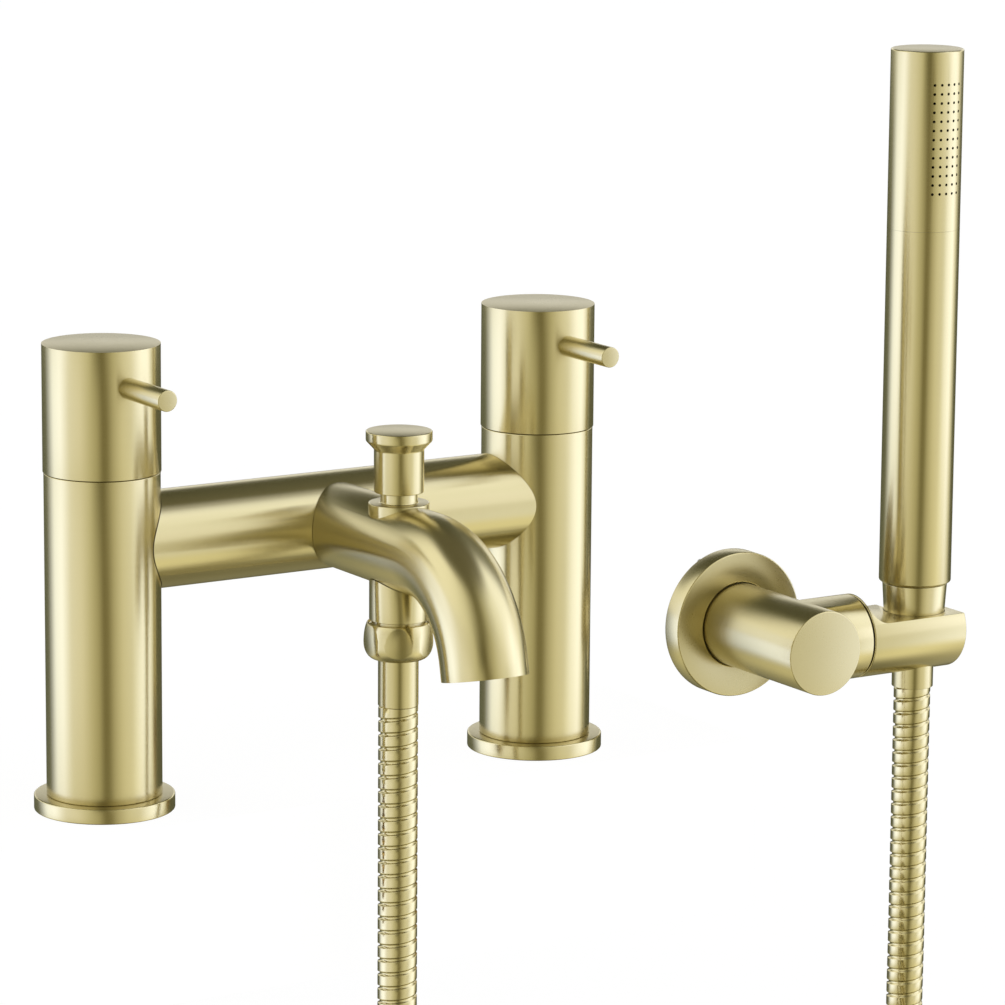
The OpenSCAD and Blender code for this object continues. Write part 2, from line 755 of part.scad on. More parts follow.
// Screwed plug on the spout: collar, guide neck for the knob and a groove for the stem's seal
module diverter_bonnet() {
    bore = stem_d / 2 + run;
    groove = bore + stem_ring_d + slip;
    half = stem_ring_d / 2 + slip;
    color(brass) translate([0, -diverter_out, 0]) rotate_extrude() polygon([
        [bore, bonnet_low],
        [bonnet_thread_d / 2 - slip, bonnet_low],
        [bonnet_thread_d / 2 - slip, collar_low],
        [collar_d / 2, collar_low],
        [collar_d / 2, collar_top - edge],
        [collar_d / 2 - edge, collar_top],
        [neck_d / 2, collar_top],
        [neck_d / 2, neck_top - edge],
        [neck_d / 2 - edge, neck_top],
        [bore, neck_top],
        [bore, stem_ring_z + half],
        [groove, stem_ring_z + half],
        [groove, stem_ring_z - half],
        [bore, stem_ring_z - half]
    ]);
}

module bonnet_o_ring() {
    color(rubber) translate([0, -diverter_out, stem_ring_z])
        o_ring(stem_d + 2 * run + stem_ring_d, stem_ring_d);
}

// Pull knob: hollow barrel that slides over the neck, cone and flat cap
module diverter_knob() {
    hollow = knob_d / 2 - knob_wall;
    color(brass) translate([0, -diverter_out, 0]) rotate_extrude() polygon([
        [hollow, knob_low],
        [knob_d / 2 - edge, knob_low],
        [knob_d / 2, knob_low + edge],
        [knob_d / 2, cone_low_z],
        [cap_d / 2, cap_low],
        [cap_d / 2, knob_top - edge],
        [cap_d / 2 - edge, knob_top],
        [0, knob_top],
        [0, stem_top],
        [stem_d / 2 + slip, stem_top],
        [stem_d / 2 + slip, knob_hollow_top],
        [hollow, knob_hollow_top]
    ]);
}

module diverter_stem() {
    color(steel) translate([0, -diverter_out, plunger_low]) rod(stem_d, stem_top - plunger_low, edge, 0);
}

module diverter_plunger() {
    color(raw_brass) translate([0, -diverter_out, plunger_z])
        ring(plunger_d, stem_d + 2 * slip, plunger_h);
}

module plunger_seals() {
    color(rubber) for (z = [plunger_low, plunger_z + plunger_h])
        translate([0, -diverter_out, z]) ring(plunger_d, stem_d + 2 * slip, plunger_seal_h);
}

// Threaded outlet below the spout: its collar is coped to the spout and a spigot enters the chamber
module shower_nipple() {
    spigot_low = bar_z - spout_d / 2 - joint_gap;
    color(brass) difference() {
        union() {
            difference() {
                translate([0, -diverter_out, nipple_low]) cylinder(d = nipple_d, h = bar_z - nipple_low);
                translate([0, 0, bar_z])
                    to_front() cylinder(d = spout_d + 2 * joint_gap, h = 2 * diverter_out);
            }
            translate([0, -diverter_out, spigot_low - weld])
                cylinder(d = chamber_d - 2 * slip, h = chamber_low - spigot_low + weld);
        }
        translate([0, -diverter_out, nipple_low - past]) cylinder(d = nipple_bore, h = bar_z);
    }
}

// Barrel-turned hexagon nut: flats cut on a rounded body leave round facets
module hose_nut() {
    belly_z = nut_low_z + nut_belly * nut_h;
    foot_r = nut_foot_d / 2;
    belly_r = nut_d / 2;
    rim_r = nut_rim_d / 2;
    lower = [for (a = [0:10:90])
        [foot_r + (belly_r - foot_r) * sin(a), belly_z - nut_belly * nut_h * cos(a)]];
    upper = [for (a = [10:10:60])
        [rim_r + (belly_r - rim_r) * (cos(a) - cos(60)) / (1 - cos(60)),
            belly_z + (1 - nut_belly) * nut_h * sin(a) / sin(60)]];
    color(brass) translate([0, -diverter_out, 0]) difference() {
        intersection() {
            rotate_extrude() polygon(concat([[0, nut_low_z]], lower, upper, [[0, nut_top_z]]));
            translate([0, 0, nut_low_z]) rotate([0, 0, 30]) hex_bar(nut_af, nut_h);
        }
        translate([0, 0, nut_low_z - past]) cylinder(d = sleeve_d + 2 * slip, h = nut_h);
        translate([0, 0, nut_low_z + nut_lip]) cylinder(d = nut_thread_d, h = nut_h);
    }
}

module nut_washer() {
    color(rubber) translate([0, -diverter_out, nut_washer_z])
        ring(nipple_d - 2 * slip, nipple_bore, hose_washer_h);
}

// Crimped end of the hose, with the flange that the nut pulls up
module hose_sleeve() {
    color(brass) translate([0, -diverter_out, 0]) rotate_extrude() polygon([
        [hose_bore / 2, sleeve_low],
        [sleeve_d / 2 - edge, sleeve_low],
        [sleeve_d / 2, sleeve_low + edge],
        [sleeve_d / 2, sleeve_flange_z],
        [nipple_d / 2 - slip, sleeve_flange_z],
        [nipple_d / 2 - slip, nut_washer_z],
        [hose_bore / 2, nut_washer_z]
    ]);
}

// Smooth curve through four neighbouring points, at a share of the middle stretch
function between(a, b, c, d, t) =
    (2 * b + (c - a) * t + (2 * a - 5 * b + 4 * c - d) * t ^ 2 + (3 * b - a - 3 * c + d) * t ^ 3) / 2;

// Fine points along a smooth curve through a route
function smooth(route, steps = 8) = let (last = len(route) - 1) [
    for (i = [0:last - 1])
        for (k = [0:steps - 1])
            between(route[max(i - 1, 0)], route[i], route[i + 1], route[min(i + 2, last)], k / steps),
    route[last]
];

// Distance along a line of points up to each of them
function distances(line) = [
    for (i = 0, s = 0; i < len(line); i = i + 1, s = s + (i < len(line) ? norm(line[i] - line[i - 1]) : 0)) s
];

// Point at a distance along a line of points
function along(line, s_of, s) = [
    for (k = [0:2]) lookup(s, [for (i = [0:len(line) - 1]) [s_of[i], line[i][k]]])
];

function unit(v) = v / norm(v);

// Direction of a line of points at a distance along it
function heading(line, s_of, s) = unit(along(line, s_of, s + past) - along(line, s_of, s - past));

// Ring of points about a centre, square to a heading
function hoop(centre, way, r) = let (
    side = unit([0, 1, 0] - way[1] * way),
    over = cross(way, side)
) [
    for (j = [0:hose_sides - 1])
        centre + r * (cos(360 * j / hose_sides) * side + sin(360 * j / hose_sides) * over)
];

// Two triangles for each side between neighbouring rings of points
function skin(first, rings, inward) = [
    for (i = [0:rings - 2])
        for (j = [0:hose_sides - 1])
            let (
                a = first + i * hose_sides + j,
                b = first + i * hose_sides + (j + 1) % hose_sides,
                c = a + hose_sides,
                d = b + hose_sides
            )
            each inward ? [[a, c, b], [b, c, d]] : [[a, b, c], [b, d, c]]
];

// Two triangles for each side of a flat end between an outer and an inner ring
function end_face(outer, inner, flip) = [
    for (j = [0:hose_sides - 1])
        let (a = outer + j, b = outer + (j + 1) % hose_sides, c = inner + j, d = inner + (j + 1) % hose_sides)
        each flip ? [[a, b, c], [b, d, c]] : [[a, c, b], [b, c, d]]
];

// Ribbed tube with a bore along a line of points, square to given headings at its ends
module ribbed_tube(line, pitch, first_way, last_way) {
    s_of = distances(line);
    length = s_of[len(s_of) - 1];
    ribs = round(length / pitch);
    rings = 2 * ribs + 1;
    bore_rings = max(2, round(length / bore_rings_apart));
    function way_at(share) = share <= 0 ? first_way
        : share >= 1 ? last_way
        : heading(line, s_of, share * length);
    function hoop_at(share, r) = hoop(along(line, s_of, share * length), way_at(share), r);
    outer = [for (i = [0:rings - 1])
        each hoop_at(i / (rings - 1), hose_d / 2 - (i % 2) * rib_depth)];
    inner = [for (i = [0:bore_rings - 1]) each hoop_at(i / (bore_rings - 1), hose_bore / 2)];
    inner_first = len(outer);
    outer_last = (rings - 1) * hose_sides;
    inner_last = inner_first + (bore_rings - 1) * hose_sides;
    polyhedron(
        points = concat(outer, inner),
        faces = concat(
            skin(0, rings, false),
            skin(inner_first, bore_rings, true),
            end_face(0, inner_first, false),
            end_face(outer_last, inner_last, true)
        )
    );
}

// Point of the coil at an angle along its turns, and the hose's heading there
function coil_point(a) = [
    coil_x + coil_r * cos(coil_start + a),
    coil_from_y + (coil_to_y - coil_from_y) * a / coil_sweep,
    coil_z + coil_r * sin(coil_start + a)
];
function coil_way(a) = unit(coil_point(a + 1) - coil_point(a - 1));

coil_line = [for (a = [0:5:coil_sweep]) coil_point(a)];
left_line = smooth(concat(left_route, [coil_point(0)]));
right_line = smooth(concat([coil_point(coil_sweep)], right_route));
turn_points = 360 / 5;
least_gap = min([
    for (i = [0:len(coil_line) - 1])
        for (j = [i + turn_points / 2:1:len(coil_line) - 1])
            norm(coil_line[i] - coil_line[j]) - hose_d
]);
hose_len = max(distances(left_line)) + max(distances(coil_line)) + max(distances(right_line));
echo("least gap between the coil's turns", least_gap, "length of the hose", hose_len);

module hose_left_run() {
    color(brass) ribbed_tube(left_line, rib_pitch, [0, 0, -1], coil_way(0));
}

module hose_coil() {
    color(brass) ribbed_tube(coil_line, coil_rib_pitch, coil_way(0), coil_way(coil_sweep));
}

module hose_right_run() {
    color(brass) ribbed_tube(right_line, rib_pitch, coil_way(coil_sweep), [0, 0, 1]);
}

// Strap round the coil's turns where they lie side by side at the bottom
module coil_tie() {
    span = (coil_to_y - coil_from_y) * 360 / coil_sweep;
    inner = hose_d + 2 * tie_gap;
    color(rubber) translate([coil_x - tie_w / 2, (coil_from_y + coil_to_y) / 2, coil_z - coil_r])
        to_right() difference() {
            stadium(2 * span, inner + 2 * tie_h, tie_w);
            translate([0, 0, -past]) stadium(2 * span, inner, tie_w + 2 * past);
        }
}

// Bar with round ends, its flat sides spanning a length along Y
module stadium(span, d, h) {
    for (end = [-1, 1]) translate([0, end * span / 2, 0]) cylinder(d = d, h = h);
    translate([-d / 2, -span / 2, 0]) cube([d, span, h]);
}

// Places a piece on the bracket's post axis with +Z out of the wall
module on_wall() {
    translate([bracket_x, wall_y, bracket_z]) to_front() children();
}

// Hidden plate on the wall, with countersunk holes and the stub that carries the post
module wall_plate() {
    color(steel) on_wall() difference() {
        union() {
            cylinder(d = plate_d, h = plate_h);
            cylinder(d = stub_d, h = plate_h + stub_len);
        }
        for (way = [-1, 1]) translate([0, way * screw_centres / 2, 0]) wall_screw(slip);
    }
}

// Countersunk wall screw along -Z, with room around it where it is a hole
module wall_screw(room) {
    head_r = wall_screw_d - joint_gap;
    shank_r = wall_screw_d / 2;
    neck_r = shank_r + screw_neck;
    head_z = plate_h - joint_gap;
    rotate_extrude() polygon([
        [0, -wall_screw_in],
        [shank_r + room, shank_r - wall_screw_in],
        [shank_r + room, -neck_out],
        [neck_r + room, -neck_out],
        [neck_r + room, head_z - (head_r - neck_r)],
        [head_r + room, head_z],
        [head_r + room, head_z + (room > 0 ? past : 0)],
        [0, head_z + (room > 0 ? past : 0)]
    ]);
}
module wall_screws() {
    color(steel) on_wall() for (way = [-1, 1]) translate([0, way * screw_centres / 2, 0]) wall_screw(0);
}

// Hollow cover that hides the plate and the screws
module wall_flange() {
    color(brass) on_wall() difference() {
        rod(rose_d, rose_h, 0, edge);
        translate([0, 0, -past]) cylinder(d = plate_d + 2 * pass_gap, h = rose_h - rose_wall + past);
        translate([0, 0, -past]) cylinder(d = post_d + 2 * joint_gap, h = rose_h + 2 * past);
    }
}

// Post with its side arm, bored for the plate's stub, the cradle's pivot and two set screws
module bracket_post() {
    color(brass) difference() {
        union() {
            translate([bracket_x, post_back, bracket_z])
                to_front() rod(post_d, post_back - post_front, 0, edge);
            translate([bracket_x, arm_y, bracket_z]) to_right() rod(post_d, arm_reach, 0, edge);
        }
        translate([bracket_x, post_back + past, bracket_z])
            to_front() cylinder(d = stub_d + 2 * slip, h = stub_len + past);
        translate([arm_end - pivot_len - pass_gap, arm_y, bracket_z])
            to_right() cylinder(d = pivot_d + 2 * run, h = pivot_len + 2 * past);
        translate([bracket_x, stub_screw_y, bracket_z - post_d])
            cylinder(d = bracket_screw_d + 2 * slip, h = post_d);
        translate([pivot_groove_x, arm_y, bracket_z - post_d])
            cylinder(d = bracket_screw_d + 2 * slip, h = post_d);
    }
}

// Set screws from below: one on the plate's stub, one in the pivot's groove
module bracket_screws() {
    low = bracket_z - post_d / 2 + past;
    color(steel) {
        translate([bracket_x, stub_screw_y, low])
            cylinder(d = bracket_screw_d, h = bracket_z - stub_d / 2 - low);
        translate([pivot_groove_x, arm_y, low])
            cylinder(d = bracket_screw_d, h = bracket_z - pivot_groove_d / 2 - pass_gap - low);
    }
}

// Radius of the hose's cone at a height
function cone_r(z) = cone_low_d / 2 + (z - taper_low) * (cone_d - cone_low_d) / 2 / cone_h;

// Swivelling cradle: round bar with a flat, a tapered seat open at the back, and a grooved pivot
module cradle() {
    axis = [cradle_x, arm_y, bracket_z];
    seat = [handset_x, arm_y, 0];
    bottom = bracket_z - post_d / 2 - past;
    color(brass) {
        difference() {
            translate(axis) to_right() rod(post_d, cradle_len, edge, edge);
            translate([cradle_x + flat_start + flat_r, arm_y - post_d, flat_z])
                cube([cradle_len, 2 * post_d, post_d]);
            translate([cradle_x + flat_start, arm_y - post_d, flat_z + flat_r])
                cube([cradle_len, 2 * post_d, post_d]);
            translate([cradle_x + flat_start + flat_r, arm_y + post_d, flat_z + flat_r])
                to_front() cylinder(r = flat_r, h = 2 * post_d);
            translate(seat) rotate_extrude() polygon([
                [0, bottom],
                [cone_tail_d / 2 + seat_gap, bottom],
                [cone_tail_d / 2 + seat_gap, shoulder_low],
                [cone_low_d / 2 + seat_gap, taper_low],
                [cone_r(flat_z + past) + seat_gap, flat_z + past],
                [0, flat_z + past]
            ]);
            translate(seat + [-hose_slot_w / 2, 0, bottom]) cube([hose_slot_w, post_d, 2 * post_d]);
        }
        translate([arm_end - pivot_len, arm_y, bracket_z]) to_right() rotate_extrude() polygon([
            [0, 0],
            [pivot_d / 2, 0],
            [pivot_d / 2, pivot_len / 2 - pivot_groove_w / 2],
            [pivot_groove_d / 2, pivot_len / 2 - pivot_groove_w / 2],
            [pivot_groove_d / 2, pivot_len / 2 + pivot_groove_w / 2],
            [pivot_d / 2, pivot_len / 2 + pivot_groove_w / 2],
            [pivot_d / 2, pivot_len + cradle_seam + weld],
            [0, pivot_len + cradle_seam + weld]
        ]);
    }
}

// Nylon washer in the seam that makes the cradle stay where it is put
module friction_washer() {
    color(rubber) translate([arm_end + slip, arm_y, bracket_z])
        to_right() ring(post_d - 4 * edge, pivot_d + 2 * slip, cradle_seam - 2 * slip);
}

// Swivel ferrule: its flange turns inside the cone and its tail lies in the hose
module hose_ferrule() {
    color(raw_brass) translate([handset_x, arm_y, 0]) rotate_extrude() polygon([
        [ferrule_bore / 2, ferrule_tail_low],
        [ferrule_tail_d / 2, ferrule_tail_low],
        [ferrule_tail_d / 2, ferrule_z],
        [ferrule_d / 2, ferrule_z],
        [ferrule_d / 2, ferrule_z + ferrule_h],
        [ferrule_bore / 2, ferrule_z + ferrule_h]
    ]);
}

// Tapered nut that screws on the handset and drops into the cradle
module cone_nut() {
    hose_room = hose_d / 2 + pass_gap;
    color(brass) translate([handset_x, arm_y, 0]) rotate_extrude() polygon([
        [hose_room, cone_low],
        [cone_tail_d / 2 - slip, cone_low],
        [cone_tail_d / 2, cone_low + edge],
        [cone_tail_d / 2, shoulder_low],
        [cone_low_d / 2, taper_low],
        [cone_d / 2, cone_top_z],
        [inlet_bore_d / 2, cone_top_z],
        [inlet_bore_d / 2, handset_washer_z],
        [ferrule_d / 2 + slip, handset_washer_z],
        [ferrule_d / 2 + slip, ferrule_seat],
        [hose_room, ferrule_seat]
    ]);
}

module handset_washer() {
    color(rubber) translate([handset_x, arm_y, handset_washer_z]) ring(inlet_d, hose_bore, hose_washer_h);
}

// Grip of the handset: thin tube with a closed foot and a threaded inlet
module handset_grip() {
    color(brass) translate([handset_x, arm_y, 0]) rotate_extrude() polygon([
        [hose_bore / 2, inlet_low],
        [inlet_d / 2, inlet_low],
        [inlet_d / 2, handset_low],
        [foot_d / 2, handset_low],
        [handset_d / 2, handset_low + foot_h],
        [handset_d / 2, grip_top],
        [grip_bore / 2, grip_top],
        [grip_bore / 2, handset_low + handset_end],
        [hose_bore / 2, handset_low + handset_end]
    ]);
}

module head_o_ring() {
    color(rubber) translate([handset_x, arm_y, head_ring_z])
        o_ring(grip_bore - 2 * slip - head_ring_d, head_ring_d);
}

// Spray head: closed tube with a spigot in the grip and a field of small holes at the front
module spray_head() {
    spigot_r = grip_bore / 2 - slip;
    spigot_wall = 2;
    groove_r = spigot_r - head_ring_d - slip;
    half = head_ring_d / 2 + slip;
    color(brass) translate([handset_x, arm_y, 0]) difference() {
        rotate_extrude() polygon([
            [spigot_r - spigot_wall, head_low - head_spigot],
            [spigot_r, head_low - head_spigot],
            [spigot_r, head_ring_z - half],
            [groove_r, head_ring_z - half],
            [groove_r, head_ring_z + half],
            [spigot_r, head_ring_z + half],
            [spigot_r, head_low],
            [handset_d / 2, head_low],
            [handset_d / 2, handset_top - edge],
            [handset_d / 2 - edge, handset_top],
            [0, handset_top],
            [0, handset_top - handset_end],
            [grip_bore / 2, handset_top - handset_end],
            [grip_bore / 2, liner_low - slip],
            [spigot_r - spigot_wall, liner_low - slip]
        ]);
        for (row = [0:spray_rows - 1])
            for (col = [0:spray_cols - 1])
                rotate([0, 0, (col - (spray_cols - 1) / 2) * spray_step])
                    translate([0, past - grip_bore / 2, handset_top - spray_top - row * spray_pitch])
                        to_front() cylinder(d = spray_d, h = handset_wall + 2 * past, $fn = 24);
    }
}

// Liner that leads the water to the spray holes, open at the front
module spray_liner() {
    color(plastic) translate([handset_x, arm_y, liner_low]) difference() {
        ring(liner_d, liner_d - 2 * liner_h, liner_top - liner_low);
        translate([-liner_window_w / 2, -liner_d, liner_h])
            cube([liner_window_w, liner_d, liner_top - liner_low - 2 * liner_h]);
    }
}

left_pillar();
right_pillar();
left_base_flange();
right_base_flange();
deck_seals();
left_inlet_tail();
right_inlet_tail();
clamp_washers();
backnuts();
left_cartridge();
right_cartridge();
seat_seals();
left_fixed_disc();
right_fixed_disc();
left_moving_disc();
right_moving_disc();
left_spindle();
right_spindle();
left_handle();
right_handle();
left_lever();
right_lever();
left_handle_screw();
right_handle_screw();
crossbar();
spout();
aerator_housing();
aerator_sieve();
diverter_bonnet();
bonnet_o_ring();
diverter_knob();
diverter_stem();
diverter_plunger();
plunger_seals();
shower_nipple();
hose_nut();
nut_washer();
hose_sleeve();
hose_left_run();
hose_coil();
hose_right_run();
coil_tie();
wall_plate();
wall_screws();
wall_flange();
bracket_post();
bracket_screws();
cradle();
friction_washer();
hose_ferrule();
cone_nut();
handset_washer();
handset_grip();
head_o_ring();
spray_head();
spray_liner();
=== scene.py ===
import math

import bpy
import numpy as np
from mathutils import Matrix, Vector


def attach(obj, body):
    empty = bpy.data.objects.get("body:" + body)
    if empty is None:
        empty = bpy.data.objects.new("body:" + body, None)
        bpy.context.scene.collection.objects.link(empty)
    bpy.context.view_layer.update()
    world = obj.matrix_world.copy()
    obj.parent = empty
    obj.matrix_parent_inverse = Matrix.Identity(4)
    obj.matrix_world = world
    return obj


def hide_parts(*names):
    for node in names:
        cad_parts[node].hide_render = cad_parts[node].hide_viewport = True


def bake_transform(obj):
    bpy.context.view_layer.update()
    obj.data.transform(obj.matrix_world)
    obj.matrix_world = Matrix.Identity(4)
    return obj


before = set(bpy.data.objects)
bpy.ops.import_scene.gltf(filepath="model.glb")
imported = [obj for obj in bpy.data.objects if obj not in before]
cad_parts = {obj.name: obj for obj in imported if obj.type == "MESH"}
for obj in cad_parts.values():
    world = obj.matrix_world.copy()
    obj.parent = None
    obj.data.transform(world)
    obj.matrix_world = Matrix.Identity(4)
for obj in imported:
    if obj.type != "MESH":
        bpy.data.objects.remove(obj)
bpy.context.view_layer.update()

# The camera stands where the photographer stood: left of the spout, a little above the handles,
# and far off with a long lens, so that upright pieces stay almost parallel.
eye = bpy.data.cameras.new("camera")
eye.sensor_width = 36
eye.lens = 179.4
eye.clip_end = 40
camera = bpy.data.objects.new("camera", eye)
bpy.context.scene.collection.objects.link(camera)
camera_right = Vector((.84920, -.52801, .00763))
camera_up = Vector((.09778, .17143, .98033))
turn = Matrix((camera_right, camera_up, camera_right.cross(camera_up))).transposed()
camera_place = Vector((-.881707, -1.533926, .457392))
camera.matrix_world = Matrix.Translation(camera_place) @ turn.to_4x4()
bpy.context.scene.camera = camera

# The brass finish: a pale gold coating, satin-brushed round each turned piece. Fine scratches
# follow the brushing and broad soft patches let the tone drift, as a hand-held pad leaves it.
brushing = bpy.data.node_groups.new("brushing", "ShaderNodeTree")
for socket, way, kind in (("Place", "INPUT", "Vector"), ("Stretch", "INPUT", "Vector"),
                          ("Tone", "OUTPUT", "Float"), ("Scratches", "OUTPUT", "Float")):
    brushing.interface.new_socket(socket, in_out=way, socket_type="NodeSocket" + kind)
group_in = brushing.nodes.new("NodeGroupInput")
group_out = brushing.nodes.new("NodeGroupOutput")
stretched = brushing.nodes.new("ShaderNodeVectorMath")
stretched.operation = "MULTIPLY"
brushing.links.new(group_in.outputs["Place"], stretched.inputs[0])
brushing.links.new(group_in.outputs["Stretch"], stretched.inputs[1])
scratches = brushing.nodes.new("ShaderNodeTexNoise")
scratches.inputs["Scale"].default_value = 1
scratches.inputs["Detail"].default_value = 2
scratches.inputs["Roughness"].default_value = .65
brushing.links.new(stretched.outputs[0], scratches.inputs["Vector"])
patches = brushing.nodes.new("ShaderNodeTexNoise")
patches.inputs["Scale"].default_value = 38
patches.inputs["Detail"].default_value = 2
brushing.links.new(group_in.outputs["Place"], patches.inputs["Vector"])
tone = brushing.nodes.new("ShaderNodeMix")
tone.inputs["Factor"].default_value = .35
brushing.links.new(scratches.outputs["Fac"], tone.inputs["A"])
brushing.links.new(patches.outputs["Fac"], tone.inputs["B"])
brushing.links.new(tone.outputs["Result"], group_out.inputs["Tone"])
brushing.links.new(scratches.outputs["Fac"], group_out.inputs["Scratches"])
deep_gold, light_gold = (.605, .53, .29), (.675, .60, .34)
quarter_turn = .25


def brass_finish(name, stretch, axis, gloss=(.21, .27), drawn=.75, chart=None, painted_shade=1):
    finish = bpy.data.materials.new(name)
    finish.use_nodes = True
    nodes, links = finish.node_tree.nodes, finish.node_tree.links
    metal = nodes["Principled BSDF"]
    metal.inputs["Metallic"].default_value = 1
    metal.inputs["Anisotropic"].default_value = drawn
    metal.inputs["Anisotropic Rotation"].default_value = quarter_turn
    place = nodes.new("ShaderNodeTexCoord")
    brushed = nodes.new("ShaderNodeGroup")
    brushed.node_tree = brushing
    brushed.inputs["Stretch"].default_value = stretch
    links.new(place.outputs["UV" if chart else "Object"], brushed.inputs["Place"])
    colour = nodes.new("ShaderNodeMix")
    colour.data_type = "RGBA"
    # Both golds are multiplied by the shade factor; below 1 it darkens the whole finish as painted
    # shade.
    colour.inputs["A"].default_value = (*(part * painted_shade for part in deep_gold), 1)
    colour.inputs["B"].default_value = (*(part * painted_shade for part in light_gold), 1)
    links.new(brushed.outputs["Tone"], colour.inputs["Factor"])
    links.new(colour.outputs["Result"], metal.inputs["Base Color"])
    dull = nodes.new("ShaderNodeMapRange")
    dull.inputs["From Min"].default_value = .3
    dull.inputs["From Max"].default_value = .7
    dull.inputs["To Min"].default_value = gloss[0]
    dull.inputs["To Max"].default_value = gloss[1]
    links.new(brushed.outputs["Tone"], dull.inputs["Value"])
    links.new(dull.outputs["Result"], metal.inputs["Roughness"])
    grain = nodes.new("ShaderNodeBump")
    grain.inputs["Strength"].default_value = .015
    grain.inputs["Distance"].default_value = .00006
    links.new(brushed.outputs["Scratches"], grain.inputs["Height"])
    links.new(grain.outputs["Normal"], metal.inputs["Normal"])
    round_it = nodes.new("ShaderNodeTangent")
    round_it.name = "round_it"
    round_it.direction_type = "UV_MAP" if chart else "RADIAL"
    if chart:
        round_it.uv_map = chart
    else:
        round_it.axis = axis
    links.new(round_it.outputs["Tangent"], metal.inputs["Tangent"])
    return finish


along_it, across_it, speckled = 25, 9000, (1500, 1500, 1500)
upright_brass = brass_finish("upright_brass", (along_it, along_it, across_it), "Z")
# The flat end faces are faced on the lathe, not brushed: no drawn highlights and a little rougher.
# Their gold is also darkened to .88 of the brushed brass, which is painted shade on the tops and
# ends.
shaded_end_brass = brass_finish("shaded_end_brass", speckled, "Z", gloss=(.26, .34), drawn=0, painted_shade=.88)

# The hose: rubber inside, covered by a wound strip of brass that climbs like a screw, a flat band
# and a narrow groove at each turn. It hangs from the outlet, lies in a tied coil below the view and
# rises into the cone under the handset. It is wound a little too long, then cut square at both ends.
hose_r, hose_pitch, hose_sides = .0071, .00518, 28
outlet_y, grip_x, grip_y = -.052, .256, -.012
left_run = [(0, outlet_y, .0372), (0, outlet_y, 0), (0, outlet_y, -.045), (0, outlet_y, -.09),
            (0, outlet_y, -.127), (.004, -.0526, -.1515), (.016, -.0542, -.1725),
            (.035, -.0568, -.1886), (.066, -.0598, -.2069), (.098, -.0617, -.2262)]
right_run = [(.2173, -.026, -.2356), (.231, -.0245, -.2277), (.2443, -.022, -.2165),
             (.253, -.0195, -.2015), (grip_x, -.017, -.1844), (grip_x, -.014, -.16),
             (grip_x, grip_y, -.13), (grip_x, grip_y, -.095), (grip_x, grip_y, -.05),
             (grip_x, grip_y, 0), (grip_x, grip_y, .0365)]
coil_x, coil_z, coil_r, coil_y = .165, -.185, .07, (-.062, -.027)
coil_from, coil_turn = 240, 780
coil = [(coil_x + coil_r * math.cos(math.radians(coil_from + a)),
         coil_y[0] + (coil_y[1] - coil_y[0]) * a / coil_turn,
         coil_z + coil_r * math.sin(math.radians(coil_from + a)))
        for a in range(0, coil_turn + 1, 5)]


def smooth_line(route, steps=8):
    points = [np.array(p, float) for p in route]
    line = []
    for i in range(len(points) - 1):
        a, b = points[max(i - 1, 0)], points[i]
        c, d = points[i + 1], points[min(i + 2, len(points) - 1)]
        for t in np.arange(steps) / steps:
            line.append((2 * b + (c - a) * t + (2 * a - 5 * b + 4 * c - d) * t ** 2
                         + (3 * b - a - 3 * c + d) * t ** 3) / 2)
    return line + [points[-1]]


hose_line = np.array(smooth_line(left_run + coil[:1])[:-1] + [np.array(p) for p in coil]
                     + smooth_line(coil[-1:] + right_run)[1:])
spare = np.array([0, 0, 2 * hose_pitch])
winding = np.concatenate([[hose_line[0] + spare], hose_line, [hose_line[-1] + spare]])
hose_s = np.concatenate([[0], np.cumsum(np.linalg.norm(np.diff(winding, axis=0), axis=1))])
stations, softened = 1600, 7
station_s = np.linspace(0, hose_s[-1], stations)
station_at = np.stack([np.interp(station_s, hose_s, winding[:, k]) for k in range(3)], 1)
ways = np.pad(np.gradient(station_at, axis=0), ((softened // 2,) * 2, (0, 0)), mode="edge")
soft = np.ones(softened) / softened
ways = np.stack([np.convolve(ways[:, k], soft, "valid") for k in range(3)], 1)
ways /= np.linalg.norm(ways, axis=1)[:, None]
fronts = np.array([0, 1, 0]) - ways[:, 1:2] * ways
fronts /= np.linalg.norm(fronts, axis=1)[:, None]
overs = np.cross(ways, fronts)
strip_share = np.array([0, .03, .25, .28, .33, .93])
strip_r = hose_r - np.array([0, .0008, .0008, .0001, 0, 0])
steps = np.arange((int(hose_s[-1] / hose_pitch) + 3) * hose_sides) / hose_sides - 1
point_s = np.clip(hose_pitch * (steps[:, None] + strip_share[None, :]), 0, hose_s[-1])
strip_at, strip_front, strip_over = (
    np.stack([np.interp(point_s, station_s, field[:, k]) for k in range(3)], 2)
    for field in (station_at, fronts, overs))
strip_turn = 2 * np.pi * steps[:, None, None]
strip_out = np.cos(strip_turn) * strip_front + np.sin(strip_turn) * strip_over
hose_points = strip_at + strip_r[None, :, None] * strip_out
number = np.arange(point_s.size).reshape(point_s.shape)
number = np.concatenate([number[:-hose_sides], number[hose_sides:, :1]], 1)
hose_faces = np.stack([number[:-1, :-1], number[1:, :-1], number[1:, 1:], number[:-1, 1:]], 2)
hose_mesh = bpy.data.meshes.new("hose")
hose_mesh.from_pydata(hose_points.reshape(-1, 3).tolist(), [], hose_faces.reshape(-1, 4).tolist())
hose = bpy.data.objects.new("hose", hose_mesh)
bpy.context.scene.collection.objects.link(hose)


def only(piece):
    bpy.ops.object.select_all(action="DESELECT")
    piece.select_set(True)
    bpy.context.view_layer.objects.active = piece


